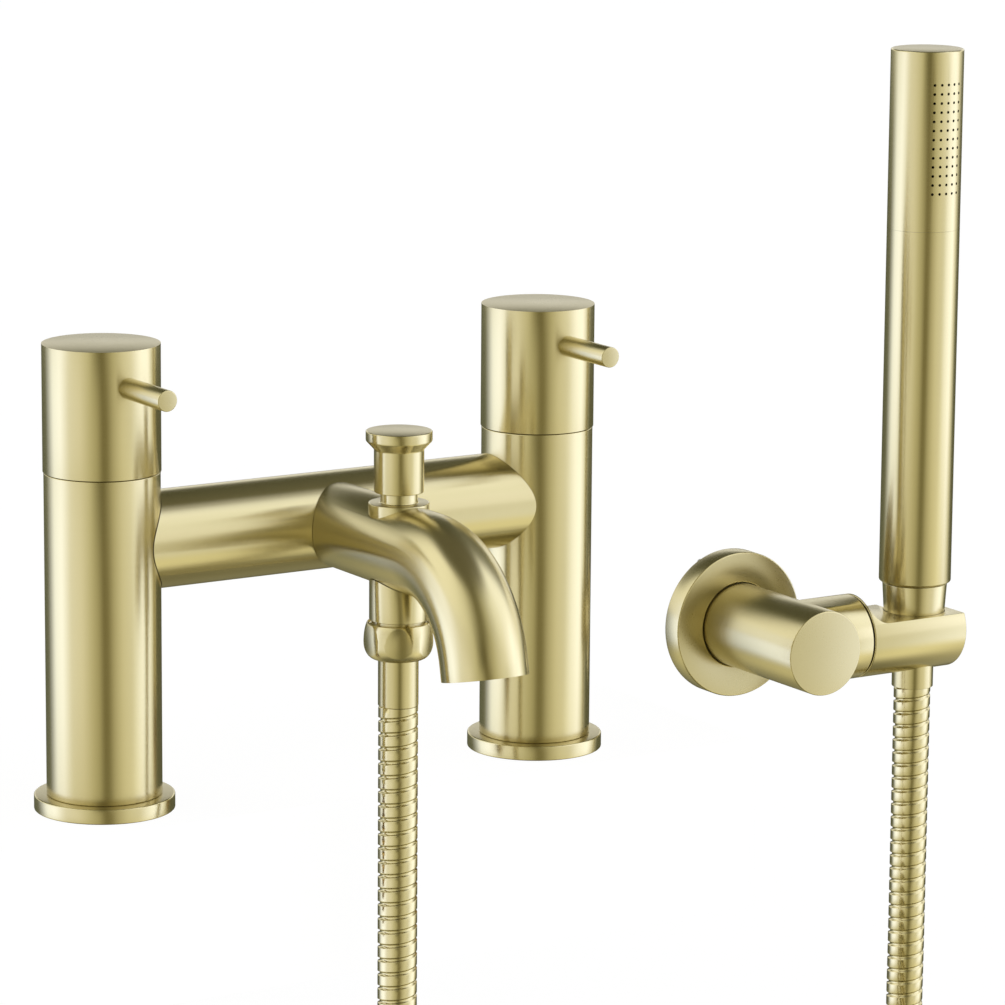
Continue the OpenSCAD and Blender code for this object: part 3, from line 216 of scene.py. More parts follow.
only(hose)
bpy.ops.object.mode_set(mode="EDIT")
bpy.ops.mesh.select_all(action="SELECT")
bpy.ops.mesh.remove_doubles(threshold=1e-7)
bpy.ops.mesh.select_mode(type="VERT")
over_coil = -.02
for end in (hose_line[0], hose_line[-1]):
    bpy.ops.mesh.select_all(action="DESELECT")
    bpy.ops.object.mode_set(mode="OBJECT")
    for v in hose.data.vertices:
        beside = math.hypot(v.co.x - end[0], v.co.y - end[1])
        v.select = v.co.z > over_coil and beside < 2 * hose_r
    bpy.ops.object.mode_set(mode="EDIT")
    bpy.ops.mesh.bisect(plane_co=end, plane_no=(0, 0, 1), use_fill=True, clear_outer=True)
bpy.ops.mesh.select_all(action="SELECT")
bpy.ops.mesh.normals_make_consistent(inside=False)
bpy.ops.object.mode_set(mode="OBJECT")
bpy.ops.object.shade_smooth_by_angle(angle=math.radians(80))
hose_brass = brass_finish("hose_brass", (900, 900, 900), "Z", gloss=(.15, .22), drawn=0)
hose.data.materials.append(hose_brass)
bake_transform(hose)
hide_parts("hose_left_run", "hose_coil", "hose_right_run")

# The strap that ties the coil: a black rubber band round the turns where they lie side by side.
# A short tube is drawn out to the coil's width, then given its thickness and soft edges.
strap_y, strap_reach = sum(coil_y) / 2, .01615
bpy.ops.object.select_all(action="DESELECT")
bpy.ops.mesh.primitive_cylinder_add(vertices=30, radius=.0075, depth=.012, end_fill_type="NOTHING",
                                    location=(coil_x, strap_y, coil_z - coil_r),
                                    rotation=(math.pi / 2, 0, math.pi / 2))
strap = bpy.context.object
strap.name = strap.data.name = "coil_strap"
bpy.ops.object.transform_apply(location=True, rotation=True, scale=True)
for end in (-1, 1):
    bpy.ops.object.mode_set(mode="EDIT")
    bpy.ops.mesh.select_mode(type="VERT")
    bpy.ops.mesh.select_all(action="DESELECT")
    bpy.ops.object.mode_set(mode="OBJECT")
    for v in strap.data.vertices:
        v.select = (v.co.y - strap_y) * end > 1e-6
    bpy.ops.object.mode_set(mode="EDIT")
    bpy.ops.transform.translate(value=(0, end * strap_reach, 0))
    bpy.ops.object.mode_set(mode="OBJECT")
band = strap.modifiers.new("thickness", "SOLIDIFY")
band.thickness = .0015
band.offset = 1
rim = strap.modifiers.new("edges", "BEVEL")
rim.width = .0004
rim.segments = 2
for step in ("thickness", "edges"):
    bpy.ops.object.modifier_apply(modifier=step)
bpy.ops.object.shade_smooth_by_angle(angle=math.radians(40))


def dull_finish(name, colour, other, roughness, scale, bump=.2, metallic=0):
    finish = bpy.data.materials.new(name)
    finish.use_nodes = True
    nodes, links = finish.node_tree.nodes, finish.node_tree.links
    body = nodes["Principled BSDF"]
    body.inputs["Metallic"].default_value = metallic
    place = nodes.new("ShaderNodeTexCoord")
    mottle = nodes.new("ShaderNodeTexNoise")
    mottle.inputs["Scale"].default_value = scale
    mottle.inputs["Detail"].default_value = 5
    links.new(place.outputs["Object"], mottle.inputs["Vector"])
    mixed = nodes.new("ShaderNodeMix")
    mixed.data_type = "RGBA"
    mixed.inputs["A"].default_value = (*colour, 1)
    mixed.inputs["B"].default_value = (*other, 1)
    links.new(mottle.outputs["Fac"], mixed.inputs["Factor"])
    links.new(mixed.outputs["Result"], body.inputs["Base Color"])
    dull = nodes.new("ShaderNodeMapRange")
    dull.inputs["To Min"].default_value = roughness[0]
    dull.inputs["To Max"].default_value = roughness[1]
    links.new(mottle.outputs["Fac"], dull.inputs["Value"])
    links.new(dull.outputs["Result"], body.inputs["Roughness"])
    skin = nodes.new("ShaderNodeBump")
    skin.inputs["Strength"].default_value = bump
    skin.inputs["Distance"].default_value = .0001
    links.new(mottle.outputs["Fac"], skin.inputs["Height"])
    links.new(skin.outputs["Normal"], body.inputs["Normal"])
    return finish


black_rubber = dull_finish("black_rubber", (.018, .018, .018), (.035, .034, .033), (.55, .8), 900)
strap.data.materials.append(black_rubber)
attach(strap, "mixer")
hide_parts("coil_tie")


# The pillars: hollow brass castings turned true on the outside, each screwed to its tail below and
# bored for its valve above. Each section is a list of radii and heights, spun round its axis.
def turned(name, centre, along, section, steps=128):
    axis, centre = Vector(along), Vector(centre)
    outwards = Vector((1, 0, 0)) if abs(axis.z) > .5 else Vector((0, 0, 1))
    line = [centre + outwards * r + axis * h for r, h in section]
    bpy.ops.object.select_all(action="DESELECT")
    bpy.ops.mesh.primitive_plane_add(size=.001, location=line[0])
    piece = bpy.context.object
    piece.name = piece.data.name = name
    bpy.ops.object.mode_set(mode="EDIT")
    bpy.ops.mesh.select_all(action="SELECT")
    bpy.ops.mesh.merge(type="CENTER")
    for here, there in zip(line, line[1:]):
        bpy.ops.mesh.extrude_region_move(TRANSFORM_OT_translate={"value": there - here})
    bpy.ops.mesh.select_all(action="SELECT")
    bpy.ops.mesh.spin(steps=steps, angle=2 * math.pi, center=centre, axis=axis)
    bpy.ops.mesh.select_all(action="SELECT")
    bpy.ops.mesh.remove_doubles(threshold=1e-6)
    bpy.ops.mesh.normals_make_consistent(inside=False)
    bpy.ops.object.mode_set(mode="OBJECT")
    bpy.ops.object.transform_apply(location=True, rotation=True, scale=True)
    return piece


def cleaned(piece, shortest):
    only(piece)
    bpy.ops.object.mode_set(mode="EDIT")
    bpy.ops.mesh.select_all(action="SELECT")
    bpy.ops.mesh.dissolve_degenerate(threshold=shortest)
    bpy.ops.object.mode_set(mode="OBJECT")


sharp, square_on = math.radians(35), .99


def rounded(piece, edge):
    only(piece)
    rim = piece.modifiers.new("edges", "BEVEL")
    rim.width = edge
    rim.segments = 3
    rim.limit_method = "ANGLE"
    rim.angle_limit = sharp
    bpy.ops.object.modifier_apply(modifier="edges")


def finished(piece, material, body, nodes, edge=.0004):
    cleaned(piece, shortest=1e-5)
    if edge:
        rounded(piece, edge)
        cleaned(piece, shortest=2e-6)
    bpy.ops.object.shade_smooth_by_angle(angle=sharp)
    piece.data.materials.clear()
    piece.data.materials.append(material)
    brushed_round = material.node_tree.nodes["round_it"]
    if brushed_round.direction_type == "RADIAL":
        across = "XYZ".index(brushed_round.axis)
        piece.data.materials.append(shaded_end_brass)
        # Faces square to the axis take the end brass, whose darker gold is painted shade.
        for face in piece.data.polygons:
            face.material_index = int(abs(face.normal[across]) > square_on)
    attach(piece, body)
    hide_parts(*nodes)


up, rightwards, backwards, forwards = (0, 0, 1), (1, 0, 0), (0, 1, 0), (0, -1, 0)
both_sides = (("left", -.09), ("right", .09))
pillar_r = .0205
for side, x in both_sides:
    pillar = turned(side + "_pillar_body", (x, 0, 0), up,
                    [(.0141, .0055), (pillar_r, .0055), (pillar_r, .1214), (.0165, .1214),
                     (.0165, .11125), (.0105, .11125), (.0105, .086), (.006, .086), (.006, .08),
                     (.0165, .08), (.0165, .0265), (.0141, .0265), (.0141, .0055)])
    finished(pillar, upright_brass, "mixer", [side + "_pillar"])

# The base flanges: flat turned rings of brass that cover the holes in the deck. The pillars stand
# on them, and each is grooved below for a rubber seal.
for side, x in both_sides:
    flange = turned(side + "_flange_ring", (x, 0, 0), up,
                    [(.0141, 0), (.0179, 0), (.0179, .002), (.0221, .002), (.0221, 0), (.025, 0),
                     (.025, .0055), (.0141, .0055), (.0141, 0)])
    finished(flange, upright_brass, "mixer", [side + "_base_flange"], edge=.0005)


# The bridge: a hollow round bar between the pillars, its ends coped to their curve so that only a
# hairline shows at each joint. Points that the cutting leaves in line are taken out again.
def combined(piece, other, operation):
    only(piece)
    step = piece.modifiers.new("combined", "BOOLEAN")
    step.operation = operation
    step.solver = "EXACT"
    step.object = other
    bpy.ops.object.modifier_apply(modifier="combined")
    bpy.data.objects.remove(other)


def cut(piece, *cutters):
    for cutter in cutters:
        combined(piece, cutter, "DIFFERENCE")


def drill(centre, along, radius, start, stop, steps=96):
    section = [(0, start), (radius, start), (radius, stop), (0, stop)]
    return turned("drill", centre, along, section, steps)


lengthwise_x_brass = brass_finish("lengthwise_x_brass", (across_it, along_it, along_it), "X")
joint_gap, bar_z, bar_r = .0002, .095, .0175
bridge = turned("bridge", (0, 0, bar_z), rightwards,
                [(.013, -.08), (bar_r, -.08), (bar_r, .08), (.013, .08), (.013, -.08)])
for side, x in both_sides:
    cut(bridge, drill((x, 0, 0), up, pillar_r + joint_gap, .06, .13, steps=128))
finished(bridge, lengthwise_x_brass, "mixer", ["crossbar"], edge=0)
bpy.ops.object.mode_set(mode="EDIT")
bpy.ops.mesh.select_all(action="SELECT")
bpy.ops.mesh.dissolve_limited(angle_limit=math.radians(.02))
bpy.ops.object.mode_set(mode="OBJECT")

# The spout: a cast tube that leaves the bridge level, bends down in one smooth curve and ends
# square. It is coped to the bridge, spot-faced on top for the diverter and counterbored in its
# mouth. A chart that follows the bend carries its brushing.
spout_r, bend_r, bend = .01525, .038, math.radians(78)
root_y, bend_y, bend_z = -.008, -.072, .057
mouth_way = Vector((0, -math.cos(bend), -math.sin(bend)))
bpy.ops.object.select_all(action="DESELECT")
bpy.ops.mesh.primitive_circle_add(vertices=96, radius=spout_r, fill_type="NGON",
                                  location=(0, root_y, bar_z), rotation=(math.pi / 2, 0, 0))
spout = bpy.context.object
spout.name = spout.data.name = "spout_tube"
bpy.ops.object.mode_set(mode="EDIT")
bpy.ops.mesh.select_all(action="SELECT")
bpy.ops.mesh.extrude_region_move(TRANSFORM_OT_translate={"value": (0, bend_y - root_y, 0)})
bpy.ops.mesh.spin(steps=40, angle=bend, center=(0, bend_y, bend_z), axis=(-1, 0, 0))
bpy.ops.mesh.extrude_region_move(TRANSFORM_OT_translate={"value": mouth_way * .006})
bpy.ops.mesh.inset(thickness=spout_r - .0121)
bpy.ops.mesh.extrude_region_move(TRANSFORM_OT_translate={"value": mouth_way * -.0086})
bpy.ops.mesh.select_all(action="SELECT")
bpy.ops.mesh.remove_doubles(threshold=1e-6)
bpy.ops.mesh.normals_make_consistent(inside=False)
bpy.ops.object.mode_set(mode="OBJECT")
bpy.ops.object.transform_apply(location=True, rotation=True, scale=True)
outlet = (0, outlet_y, 0)
cut(spout, drill((0, 0, bar_z), rightwards, bar_r + joint_gap, -.03, .03, steps=160),
    drill(outlet, up, .0109, .105, .12))
spout_brass = brass_finish("spout_brass", (along_it, across_it, 1), "Z", chart="way_round")
finished(spout, spout_brass, "mixer", ["spout"], edge=.0003)
chart = spout.data.uv_layers.new(name="way_round")
bend_out = Vector((0, -math.sin(bend), math.cos(bend)))
bend_end = Vector((0, bend_y - bend_r * math.sin(bend), bend_z + bend_r * math.cos(bend)))
for face in spout.data.polygons:
    start = None
    for loop in face.loop_indices:
        at = spout.data.vertices[spout.data.loops[loop].vertex_index].co
        swing = math.atan2(bend_y - at.y, at.z - bend_z)
        if at.y > bend_y:
            along, rise = -at.y, at.z - bar_z
        elif swing < bend:
            along = -bend_y + bend_r * swing
            rise = math.hypot(at.y - bend_y, at.z - bend_z) - bend_r
        else:
            along = -bend_y + bend_r * bend + (at - bend_end).dot(mouth_way)
            rise = (at - bend_end).dot(bend_out)
        angle = math.atan2(at.x, rise)
        start = angle if start is None else start
        angle += 2 * math.pi * round((start - angle) / (2 * math.pi))
        chart.data[loop].uv = (angle * spout_r, along)

# The diverter's bonnet: a turned collar seated in the spout's spot-face, and a neck above it that
# guides the knob.
bonnet = turned("bonnet_collar", outlet, up,
                [(.00305, .1015), (.0089, .1015), (.0089, .105), (.0108, .105), (.0108, .1105),
                 (.0066, .1105), (.0066, .12877), (.00305, .12877), (.00305, .1015)])
finished(bonnet, upright_brass, "mixer", ["diverter_bonnet"])

# The diverter's knob: a hollow turned barrel that slides over the neck, a short cone and a flat cap
# to pull. It is fixed on the diverter's stem.
knob = turned("knob_cap", outlet, up,
              [(0, .1361), (.01175, .1361), (.01175, .1326), (.00885, .1295), (.00885, .1142),
               (.007, .1142), (.007, .13027), (.0031, .13027), (.0031, .13435), (0, .13435)])
finished(knob, upright_brass, "diverter", ["diverter_knob"])

# The shower outlet: a short nipple coped to the underside of the spout, with the thread's relief
# groove just above the hose nut.
nipple = turned("outlet_nipple", outlet, up,
                [(.0055, .0605), (.0104, .0605), (.0104, .0671), (.0096, .0674), (.0096, .0684),
                 (.0104, .0687), (.0104, .092), (.0055, .092), (.0055, .0605)])
cut(nipple, drill((0, 0, bar_z), backwards, spout_r + joint_gap, -.08, -.02, steps=128))
finished(nipple, upright_brass, "mixer", ["shower_nipple"], edge=.0002)

# The hose nut: a barrel-shaped turning with six flats milled on it, which leaves round facets. It
# pulls the hose's sleeve up against the nipple.
nut_low, nut_top, flat_out = .0544, .0675, .0114
nut_belly = nut_low + .45 * (nut_top - nut_low)
nut_section = [(.0084 + .00395 * math.sin(math.radians(a)),
                nut_belly - (nut_belly - nut_low) * math.cos(math.radians(a)))
               for a in range(0, 91, 9)]
shoulder = 60
nut_section += [(.01115 + .0012 * (math.cos(math.radians(a)) - .5) / .5,
                 nut_belly + (nut_top - nut_belly) * math.sin(math.radians(a))
                 / math.sin(math.radians(shoulder)))
                for a in range(6, shoulder + 1, 6)]
nut_section += [(.0109, nut_top), (.0105, nut_top - .0009), (.0105, .0564), (.0073, .0564),
                (.0073, nut_low), nut_section[0]]
nut = turned("hose_nut_barrel", outlet, up, nut_section)
bpy.ops.object.mode_set(mode="EDIT")
for flat in range(6):
    way = Vector((math.cos(math.radians(60 * flat)), math.sin(math.radians(60 * flat)), 0))
    bpy.ops.mesh.select_all(action="SELECT")
    bpy.ops.mesh.bisect(plane_co=Vector((0, outlet_y, .06)) + way * flat_out, plane_no=way,
                        use_fill=True, clear_outer=True)
bpy.ops.object.mode_set(mode="OBJECT")
finished(nut, upright_brass, "mixer", ["hose_nut"], edge=.00015)

# The hose's end sleeve: a plain turned tube of brass crimped on the hose, with the flange that the
# nut pulls up.
sleeve = turned("hose_end_sleeve", outlet, up,
                [(.0047, .0372), (.0072, .0372), (.0072, .0565), (.0103, .0565), (.0103, .0585),
                 (.0047, .0585), (.0047, .0372)])
finished(sleeve, upright_brass, "mixer", ["hose_sleeve"])

# The handles: hollow turned caps of brass, each clamped on its valve spindle by a set screw in the
# small hole at the back.
for side, x in both_sides:
    handle = turned(side + "_handle_cap", (x, 0, 0), up,
                    [(0, .16695), (.0208, .16695), (.0208, .1217), (.0178, .1217),
                     (.0178, .16295), (.009, .16295), (.009, .12475), (.0041, .12475),
                     (.0041, .13775), (0, .13775)])
    cut(handle, drill((x, 0, .13075), backwards, .0021, .004, .03, steps=32))
    finished(handle, upright_brass, side + "_handle", [side + "_handle"])

# The levers: plain turned pins of brass, each screwed into the front of its handle by a thinner
# end and brushed round its length.
lengthwise_y_brass = brass_finish("lengthwise_y_brass", (along_it, across_it, along_it), "Y")
for side, x in both_sides:
    pin = turned(side + "_lever_pin", (x, 0, .15395), forwards,
                 [(0, .0178), (.0025, .0178), (.0025, .0193), (.00375, .0193), (.00375, .049),
                  (0, .049)], steps=64)
    finished(pin, lengthwise_y_brass, side + "_handle", [side + "_lever"], edge=.0003)

# The wall flange: a hollow turned cover that hides the fixing plate and its screws, with the post
# through its middle.
bracket_x, bracket_z, bar_half = .2, .0285, .0163
cover = turned("bracket_flange", (bracket_x, .035, bracket_z), forwards,
               [(.0253, 0), (.0285, 0), (.0285, .009), (.0165, .009), (.0165, .0065),
                (.0253, .0065), (.0253, 0)])
finished(cover, lengthwise_y_brass, "mixer", ["wall_flange"], edge=.0006)

# The bracket's post: a round bar that stands out of the wall with an arm to the right, one casting,
# with a set screw below each end. The arm is brushed round its own length.
post = turned("bracket_bar", (bracket_x, .0318, bracket_z), forwards,
              [(.0091, 0), (bar_half, 0), (bar_half, .0638), (0, .0638), (0, .016), (.0091, .016),
               (.0091, 0)])
arm = turned("bracket_arm", (bracket_x, grip_y, bracket_z), rightwards,
             [(0, 0), (bar_half, 0), (bar_half, .0254), (.00605, .0254), (.00605, .0111),
              (0, .0111)])
for bar in (post, arm):
    rounded(bar, .0004)
combined(post, arm, "UNION")
cut(post, drill((bracket_x, .024, bracket_z), up, .0021, -.02, -.008, steps=32),
    drill((.2184, grip_y, bracket_z), up, .0021, -.02, -.005, steps=32))
finished(post, lengthwise_y_brass, "mixer", ["bracket_post"], edge=0)
post.data.materials.append(lengthwise_x_brass)
# The arm's faces are brushed round its length, and its flat end takes the end brass with its painted
# shade.
off_post = bar_half + .00005
for face in post.data.polygons:
    out = math.hypot(face.center.x - bracket_x, face.center.z - bracket_z)
    if face.center.x > bracket_x and out > off_post:
        face.material_index = 1 if face.normal.x > square_on else 2

# The cradle: a short bar on the arm's axis, milled flat on top, with a tapered seat for the
# handset's cone and a slot at the back that lets the hose out.
cradle_x, cradle_end, flat_z, flat_x, flat_r = .2262, .2695, .0355, .2336, .0068
grip_axis = (grip_x, grip_y, 0)
cradle = turned("handset_cradle", (cradle_x, grip_y, bracket_z), rightwards,
                [(0, 0), (bar_half, 0), (bar_half, cradle_end - cradle_x),
                 (0, cradle_end - cradle_x)])
rounded(cradle, .0005)


def block(low, high):
    bpy.ops.object.select_all(action="DESELECT")
    bpy.ops.mesh.primitive_cube_add(size=1, location=(Vector(low) + Vector(high)) / 2)
    bpy.context.object.scale = Vector(high) - Vector(low)
    bpy.ops.object.transform_apply(location=True, rotation=True, scale=True)
    return bpy.context.object


cut(cradle,
    block((flat_x, -.05, flat_z), (.29, .03, .06)),
    block((flat_x - flat_r, -.05, flat_z + flat_r), (.29, .03, .06)),
    drill((flat_x, grip_y, flat_z + flat_r), backwards, flat_r, -.04, .04),
    turned("seat", grip_axis, up,
           [(0, .008), (.00825, .008), (.00825, .0178), (.01105, .0206), (.0121, .0366),
            (0, .0366)]),
    block((.2485, grip_y, .005), (.2635, .02, .06)))
finished(cradle, lengthwise_x_brass, "cradle", ["cradle"], edge=.0002)

# The cone nut: a turned cone that screws on the handset, turns on the hose's ferrule and drops into
# the cradle's seat.
cone = turned("handset_cone", grip_axis, up,
              [(.0073, .0055), (.008, .0055), (.008, .0178), (.0108, .0206), (.0125, .0466),
               (.0103, .0466), (.0103, .0398), (.0084, .0398), (.0084, .0374), (.0073, .0374),
               (.0073, .0055)])
finished(cone, upright_brass, "handset", ["cone_nut"], edge=.0002)

# The handset's grip: a thin drawn tube of brass with a closed foot, threaded below for the cone and
# rounded where it meets it.
grip_r, grip_bore = .0139, .012
grip = turned("handset_grip_tube", grip_axis, up,
              [(.0047, .0418), (.0102, .0418), (.0102, .0468), (.0128, .0468), (.0137, .0475),
               (grip_r, .0479), (grip_r, .18475), (grip_bore, .18475), (grip_bore, .0508),
               (.0047, .0508), (.0047, .0418)])
finished(grip, upright_brass, "handset", ["handset_grip"], edge=0)

# The spray head: the closed upper part of the same tube, plugged into the grip, with a field of
# small drilled holes at the front.
head = turned("spray_head_tube", grip_axis, up,
              [(0, .2533), (.0133, .2533), (.0136, .25322), (.01382, .253), (grip_r, .2527),
               (grip_r, .1848), (.0119, .1848), (.0119, .1768), (.0099, .1768), (.0099, .1877),
               (grip_bore, .1877), (grip_bore, .2493), (0, .2493)])
hole_r, hole_top, hole_drop, hole_turn = .00055, .2407, .00345, 11.9
bits = []
for row in range(13):
    for column in range(5):
        angle = math.radians(hole_turn * (column - 2))
        bits.append(drill((grip_x, grip_y, hole_top - hole_drop * row),
                          (math.sin(angle), -math.cos(angle), 0), hole_r, .011, .015, steps=12))
only(bits[0])
for bit in bits[1:]:
    bit.select_set(True)
bpy.ops.object.join()
cut(head, bits[0])
finished(head, upright_brass, "handset", ["spray_head"], edge=0)

# Pieces that stay as the frame gives them, with a finish of their own: threads and valve pieces of
# bare brass, seals of rubber, discs of ceramic, plastic sieves and steel fixings.
bare_brass = dull_finish("bare_brass", (.60, .42, .15), (.68, .49, .20), (.25, .4), 700, .1,
                         metallic=1)
threaded_brass = dull_finish("threaded_brass", (.56, .39, .14), (.66, .47, .19), (.25, .4), 700, .1,
                             metallic=1)
thread_tree = threaded_brass.node_tree
thread_place = thread_tree.nodes.new("ShaderNodeTexCoord")
thread = thread_tree.nodes.new("ShaderNodeTexWave")
thread.bands_direction = "Z"
thread.inputs["Scale"].default_value = 174
thread_tree.links.new(thread_place.outputs["Object"], thread.inputs["Vector"])
ridges = next(node for node in thread_tree.nodes if node.type == "BUMP")
ridges.inputs["Strength"].default_value = .9
ridges.inputs["Distance"].default_value = .0006
thread_tree.links.new(thread.outputs["Fac"], ridges.inputs["Height"])
red_fibre = dull_finish("red_fibre", (.22, .055, .035), (.34, .11, .07), (.7, .9), 1500)
dark_nylon = dull_finish("dark_nylon", (.03, .03, .028), (.06, .058, .052), (.5, .65), 800)
white_ceramic = dull_finish("white_ceramic", (.82, .80, .75), (.88, .86, .82), (.08, .16), 300, .02)
grey_plastic = dull_finish("grey_plastic", (.58, .59, .59), (.68, .69, .69), (.4, .55), 900, .05)
plain_steel = dull_finish("plain_steel", (.50, .50, .49), (.60, .60, .59), (.28, .42), 600, .1,
                          metallic=1)
for finish, kept in (
        (threaded_brass, ["left_inlet_tail", "right_inlet_tail"]),
        (bare_brass, ["backnuts", "left_cartridge", "right_cartridge", "left_spindle",
                      "right_spindle", "diverter_plunger", "hose_ferrule"]),
        (upright_brass, ["aerator_housing"]),
        (black_rubber, ["deck_seals", "seat_seals", "bonnet_o_ring", "plunger_seals", "nut_washer",
                        "handset_washer", "head_o_ring"]),
        (red_fibre, ["clamp_washers"]),
        (dark_nylon, ["friction_washer"]),
        (white_ceramic, ["left_fixed_disc", "right_fixed_disc", "left_moving_disc",
                         "right_moving_disc"]),
        (grey_plastic, ["aerator_sieve", "spray_liner"]),
        (plain_steel, ["left_handle_screw", "right_handle_screw", "diverter_stem", "wall_plate",
                       "wall_screws", "bracket_screws"])):
    for node in kept:
        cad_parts[node].data.materials.clear()
        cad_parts[node].data.materials.append(finish)

# The studio: a white floor in two steps. The mixer stands on the upper one, which its tails go
# through, and the hose hangs over the edge. It is white to the camera and keeps a little of the
# shadow.
white_stage = bpy.data.materials.new("white_stage")
white_stage.use_nodes = True
stage_nodes, stage_links = white_stage.node_tree.nodes, white_stage.node_tree.links
paint = stage_nodes["Principled BSDF"]
paint.inputs["Base Color"].default_value = (.85, .85, .85, 1)
paint.inputs["Roughness"].default_value = .9
glow = stage_nodes.new("ShaderNodeEmission")
glow.inputs["Strength"].default_value = 1.04
stage_ray = stage_nodes.new("ShaderNodeLightPath")
glow_share = stage_nodes.new("ShaderNodeMath")
glow_share.operation = "MULTIPLY"
glow_share.inputs[1].default_value = .93
stage_mix = stage_nodes.new("ShaderNodeMixShader")
stage_links.new(stage_ray.outputs["Is Camera Ray"], glow_share.inputs[0])
stage_links.new(glow_share.outputs[0], stage_mix.inputs["Fac"])
stage_links.new(paint.outputs["BSDF"], stage_mix.inputs[1])
stage_links.new(glow.outputs["Emission"], stage_mix.inputs[2])
stage_links.new(stage_mix.outputs["Shader"], stage_nodes["Material Output"].inputs["Surface"])
step_low, lower_floor = -.065, -.268
floor = block((-8, -.034, step_low), (.165, 8, 0))
floor.name = floor.data.name = "floor"
bpy.ops.object.select_all(action="DESELECT")
bpy.ops.mesh.primitive_plane_add(size=30, location=(0, 0, lower_floor))
floor.select_set(True)
bpy.context.view_layer.objects.active = floor
bpy.ops.object.join()
bpy.ops.object.transform_apply(location=True, rotation=True, scale=True)
floor.data.materials.append(white_stage)
floor.visible_glossy = False

# The light: soft panels round the object, strongest at both sides and weak in front, where a narrow
# gap draws the dark line down each upright piece. A lit backdrop stands behind, a broad panel above
# the camera; the ground is dim and the zenith dark. The camera sees plain white.
studio = bpy.data.worlds.new("studio")
bpy.context.scene.world = studio
studio.use_nodes = True
sky_nodes, sky_links = studio.node_tree.nodes, studio.node_tree.links
sky_nodes.clear()
brightest = 3
sky = sky_nodes.new("ShaderNodeTexCoord")
to_right = Vector((camera_right.x, camera_right.y, 0)).normalized()
to_front = Vector((to_right.y, -to_right.x, 0))
sideways = []
for way in (to_right, to_front):
    dot = sky_nodes.new("ShaderNodeVectorMath")
    dot.operation = "DOT_PRODUCT"
    dot.inputs[1].default_value = way
    sky_links.new(sky.outputs["Generated"], dot.inputs[0])
    sideways.append(dot.outputs["Value"])
around = sky_nodes.new("ShaderNodeMath")
around.operation = "ARCTAN2"
sky_links.new(sideways[0], around.inputs[0])
sky_links.new(sideways[1], around.inputs[1])
turn_share = sky_nodes.new("ShaderNodeMapRange")
turn_share.inputs["From Min"].default_value = -math.pi
turn_share.inputs["From Max"].default_value = math.pi
sky_links.new(around.outputs[0], turn_share.inputs["Value"])
height = sky_nodes.new("ShaderNodeSeparateXYZ")
sky_links.new(sky.outputs["Generated"], height.inputs["Vector"])


def panels(stops):
    ramp = sky_nodes.new("ShaderNodeValToRGB")
    while len(ramp.color_ramp.elements) < len(stops):
        ramp.color_ramp.elements.new(.5)
    for element, (degrees, red, green, blue) in zip(ramp.color_ramp.elements, stops):
        element.position = (degrees + 180) / 360
        element.color = (red / brightest, green / brightest, blue / brightest, 1)
    sky_links.new(turn_share.outputs["Result"], ramp.inputs["Fac"])
    return ramp.outputs["Color"]


def above(lower, upper, low, high):
    rise = sky_nodes.new("ShaderNodeMapRange")
    rise.interpolation_type = "SMOOTHSTEP"
    rise.inputs["From Min"].default_value = low
    rise.inputs["From Max"].default_value = high
    sky_links.new(height.outputs["Z"], rise.inputs["Value"])
    both = sky_nodes.new("ShaderNodeMix")
    both.data_type = "RGBA"
    sky_links.new(rise.outputs["Result"], both.inputs["Factor"])
    sky_links.new(lower, both.inputs["A"])
    sky_links.new(upper, both.inputs["B"])
    return both.outputs["Result"]


deep = panels([(-180, .2, .19, .12), (180, .2, .19, .12)])
ground = panels([(-180, .22, .21, .13), (-150, .45, .43, .28), (-120, .8, .76, .52),
                 (-70, .85, .82, .6), (-24, .75, .71, .5), (-6, .55, .52, .33),
                 (7, .24, .22, .11), (16, .27, .25, .13), (28, .6, .57, .38),
                 (46, .85, .81, .58), (80, 1.25, 1.2, .9), (112, .8, .76, .55),
                 (180, .22, .21, .13)])
sides = panels([(-180, .12, .12, .07), (-150, .14, .15, .1), (-132, .18, .19, .15),
                (-119, .6, .66, .85), (-104, 1.5, 1.64, 2.2), (-84, 1.7, 1.84, 2.5),
                (-62, 1.15, 1.17, 1.25), (-38, 1.1, 1.09, 1.05), (-18, .78, .76, .58),
                (-4, .6, .57, .38), (6, .25, .22, .11), (15, .28, .25, .13),
                (26, .62, .59, .42), (44, .95, .93, .78), (64, 1, 1, .95),
                (82, 1.5, 1.58, 1.9), (104, 1.8, 1.9, 2.4), (120, 1, 1, .9),
                (136, .14, .14, .08), (180, .1, .1, .06)])
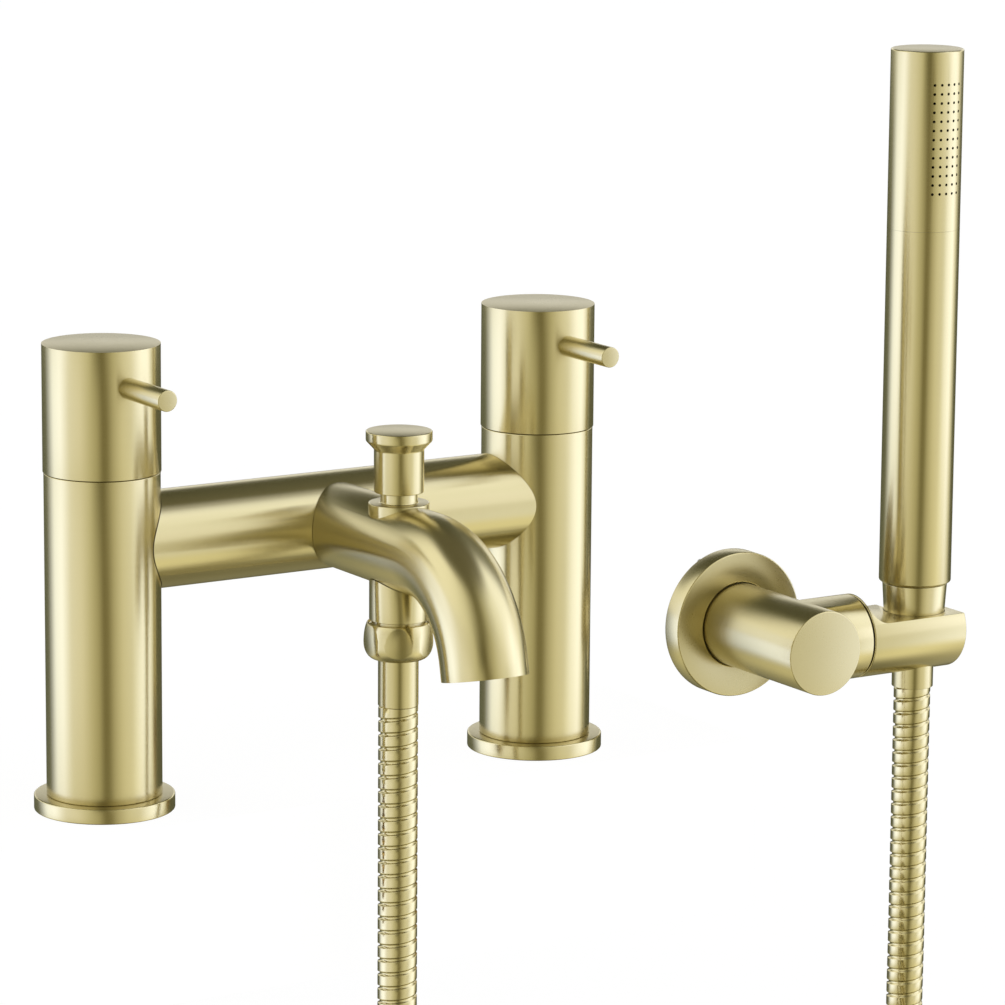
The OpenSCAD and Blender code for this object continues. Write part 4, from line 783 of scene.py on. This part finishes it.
backdrop = panels([(-180, 1.12, 1.12, 1.1), (-150, .95, .95, .92), (-128, 1.05, 1.05, 1),
                   (-108, 1.2, 1.22, 1.3), (-92, 1.35, 1.42, 1.75), (-78, 1.55, 1.65, 2.15),
                   (-55, 1.05, 1.05, 1.05), (-20, .8, .78, .6), (-9, .3, .28, .16),
                   (-2, .1, .09, .04), (7, .17, .15, .07), (16, .5, .47, .32),
                   (28, .72, .69, .5), (60, 1.2, 1.2, 1.2), (90, 1.85, 1.95, 2.5),
                   (120, 1.25, 1.25, 1.25), (180, 1.12, 1.12, 1.1)])
top_front = panels([(-180, .1, .1, .06), (-150, .1, .1, .06), (-131, .2, .2, .14),
                    (-116, 1.1, 1.1, 1.05), (-95, 1.4, 1.4, 1.4), (-60, 1.3, 1.3, 1.25),
                    (-30, 1, .99, .85), (-10, .5, .48, .34), (0, .24, .22, .12),
                    (12, .24, .22, .12), (26, .6, .58, .42), (60, 1.25, 1.27, 1.3),
                    (90, 1.5, 1.56, 1.8), (110, 1.6, 1.66, 1.9), (130, .2, .2, .15),
                    (180, .1, .1, .06)])
zenith = panels([(-180, .15, .14, .09), (180, .15, .14, .09)])
ring = above(deep, ground, -.92, -.68)
ring = above(ring, sides, -.6, -.32)
ring = above(ring, backdrop, -.05, .12)
ring = above(ring, top_front, .3, .42)
ring = above(ring, zenith, .8, .92)
light = sky_nodes.new("ShaderNodeBackground")
light.inputs["Strength"].default_value = brightest
sky_links.new(ring, light.inputs["Color"])
white = sky_nodes.new("ShaderNodeBackground")
white.inputs["Color"].default_value = (1, 1, 1, 1)
sky_ray = sky_nodes.new("ShaderNodeLightPath")
view = sky_nodes.new("ShaderNodeMixShader")
sky_links.new(sky_ray.outputs["Is Camera Ray"], view.inputs["Fac"])
sky_links.new(light.outputs["Background"], view.inputs[1])
sky_links.new(white.outputs["Background"], view.inputs[2])
sky_links.new(view.outputs["Shader"], sky_nodes.new("ShaderNodeOutputWorld").inputs["Surface"])
bpy.context.scene.view_settings.view_transform = "Standard"
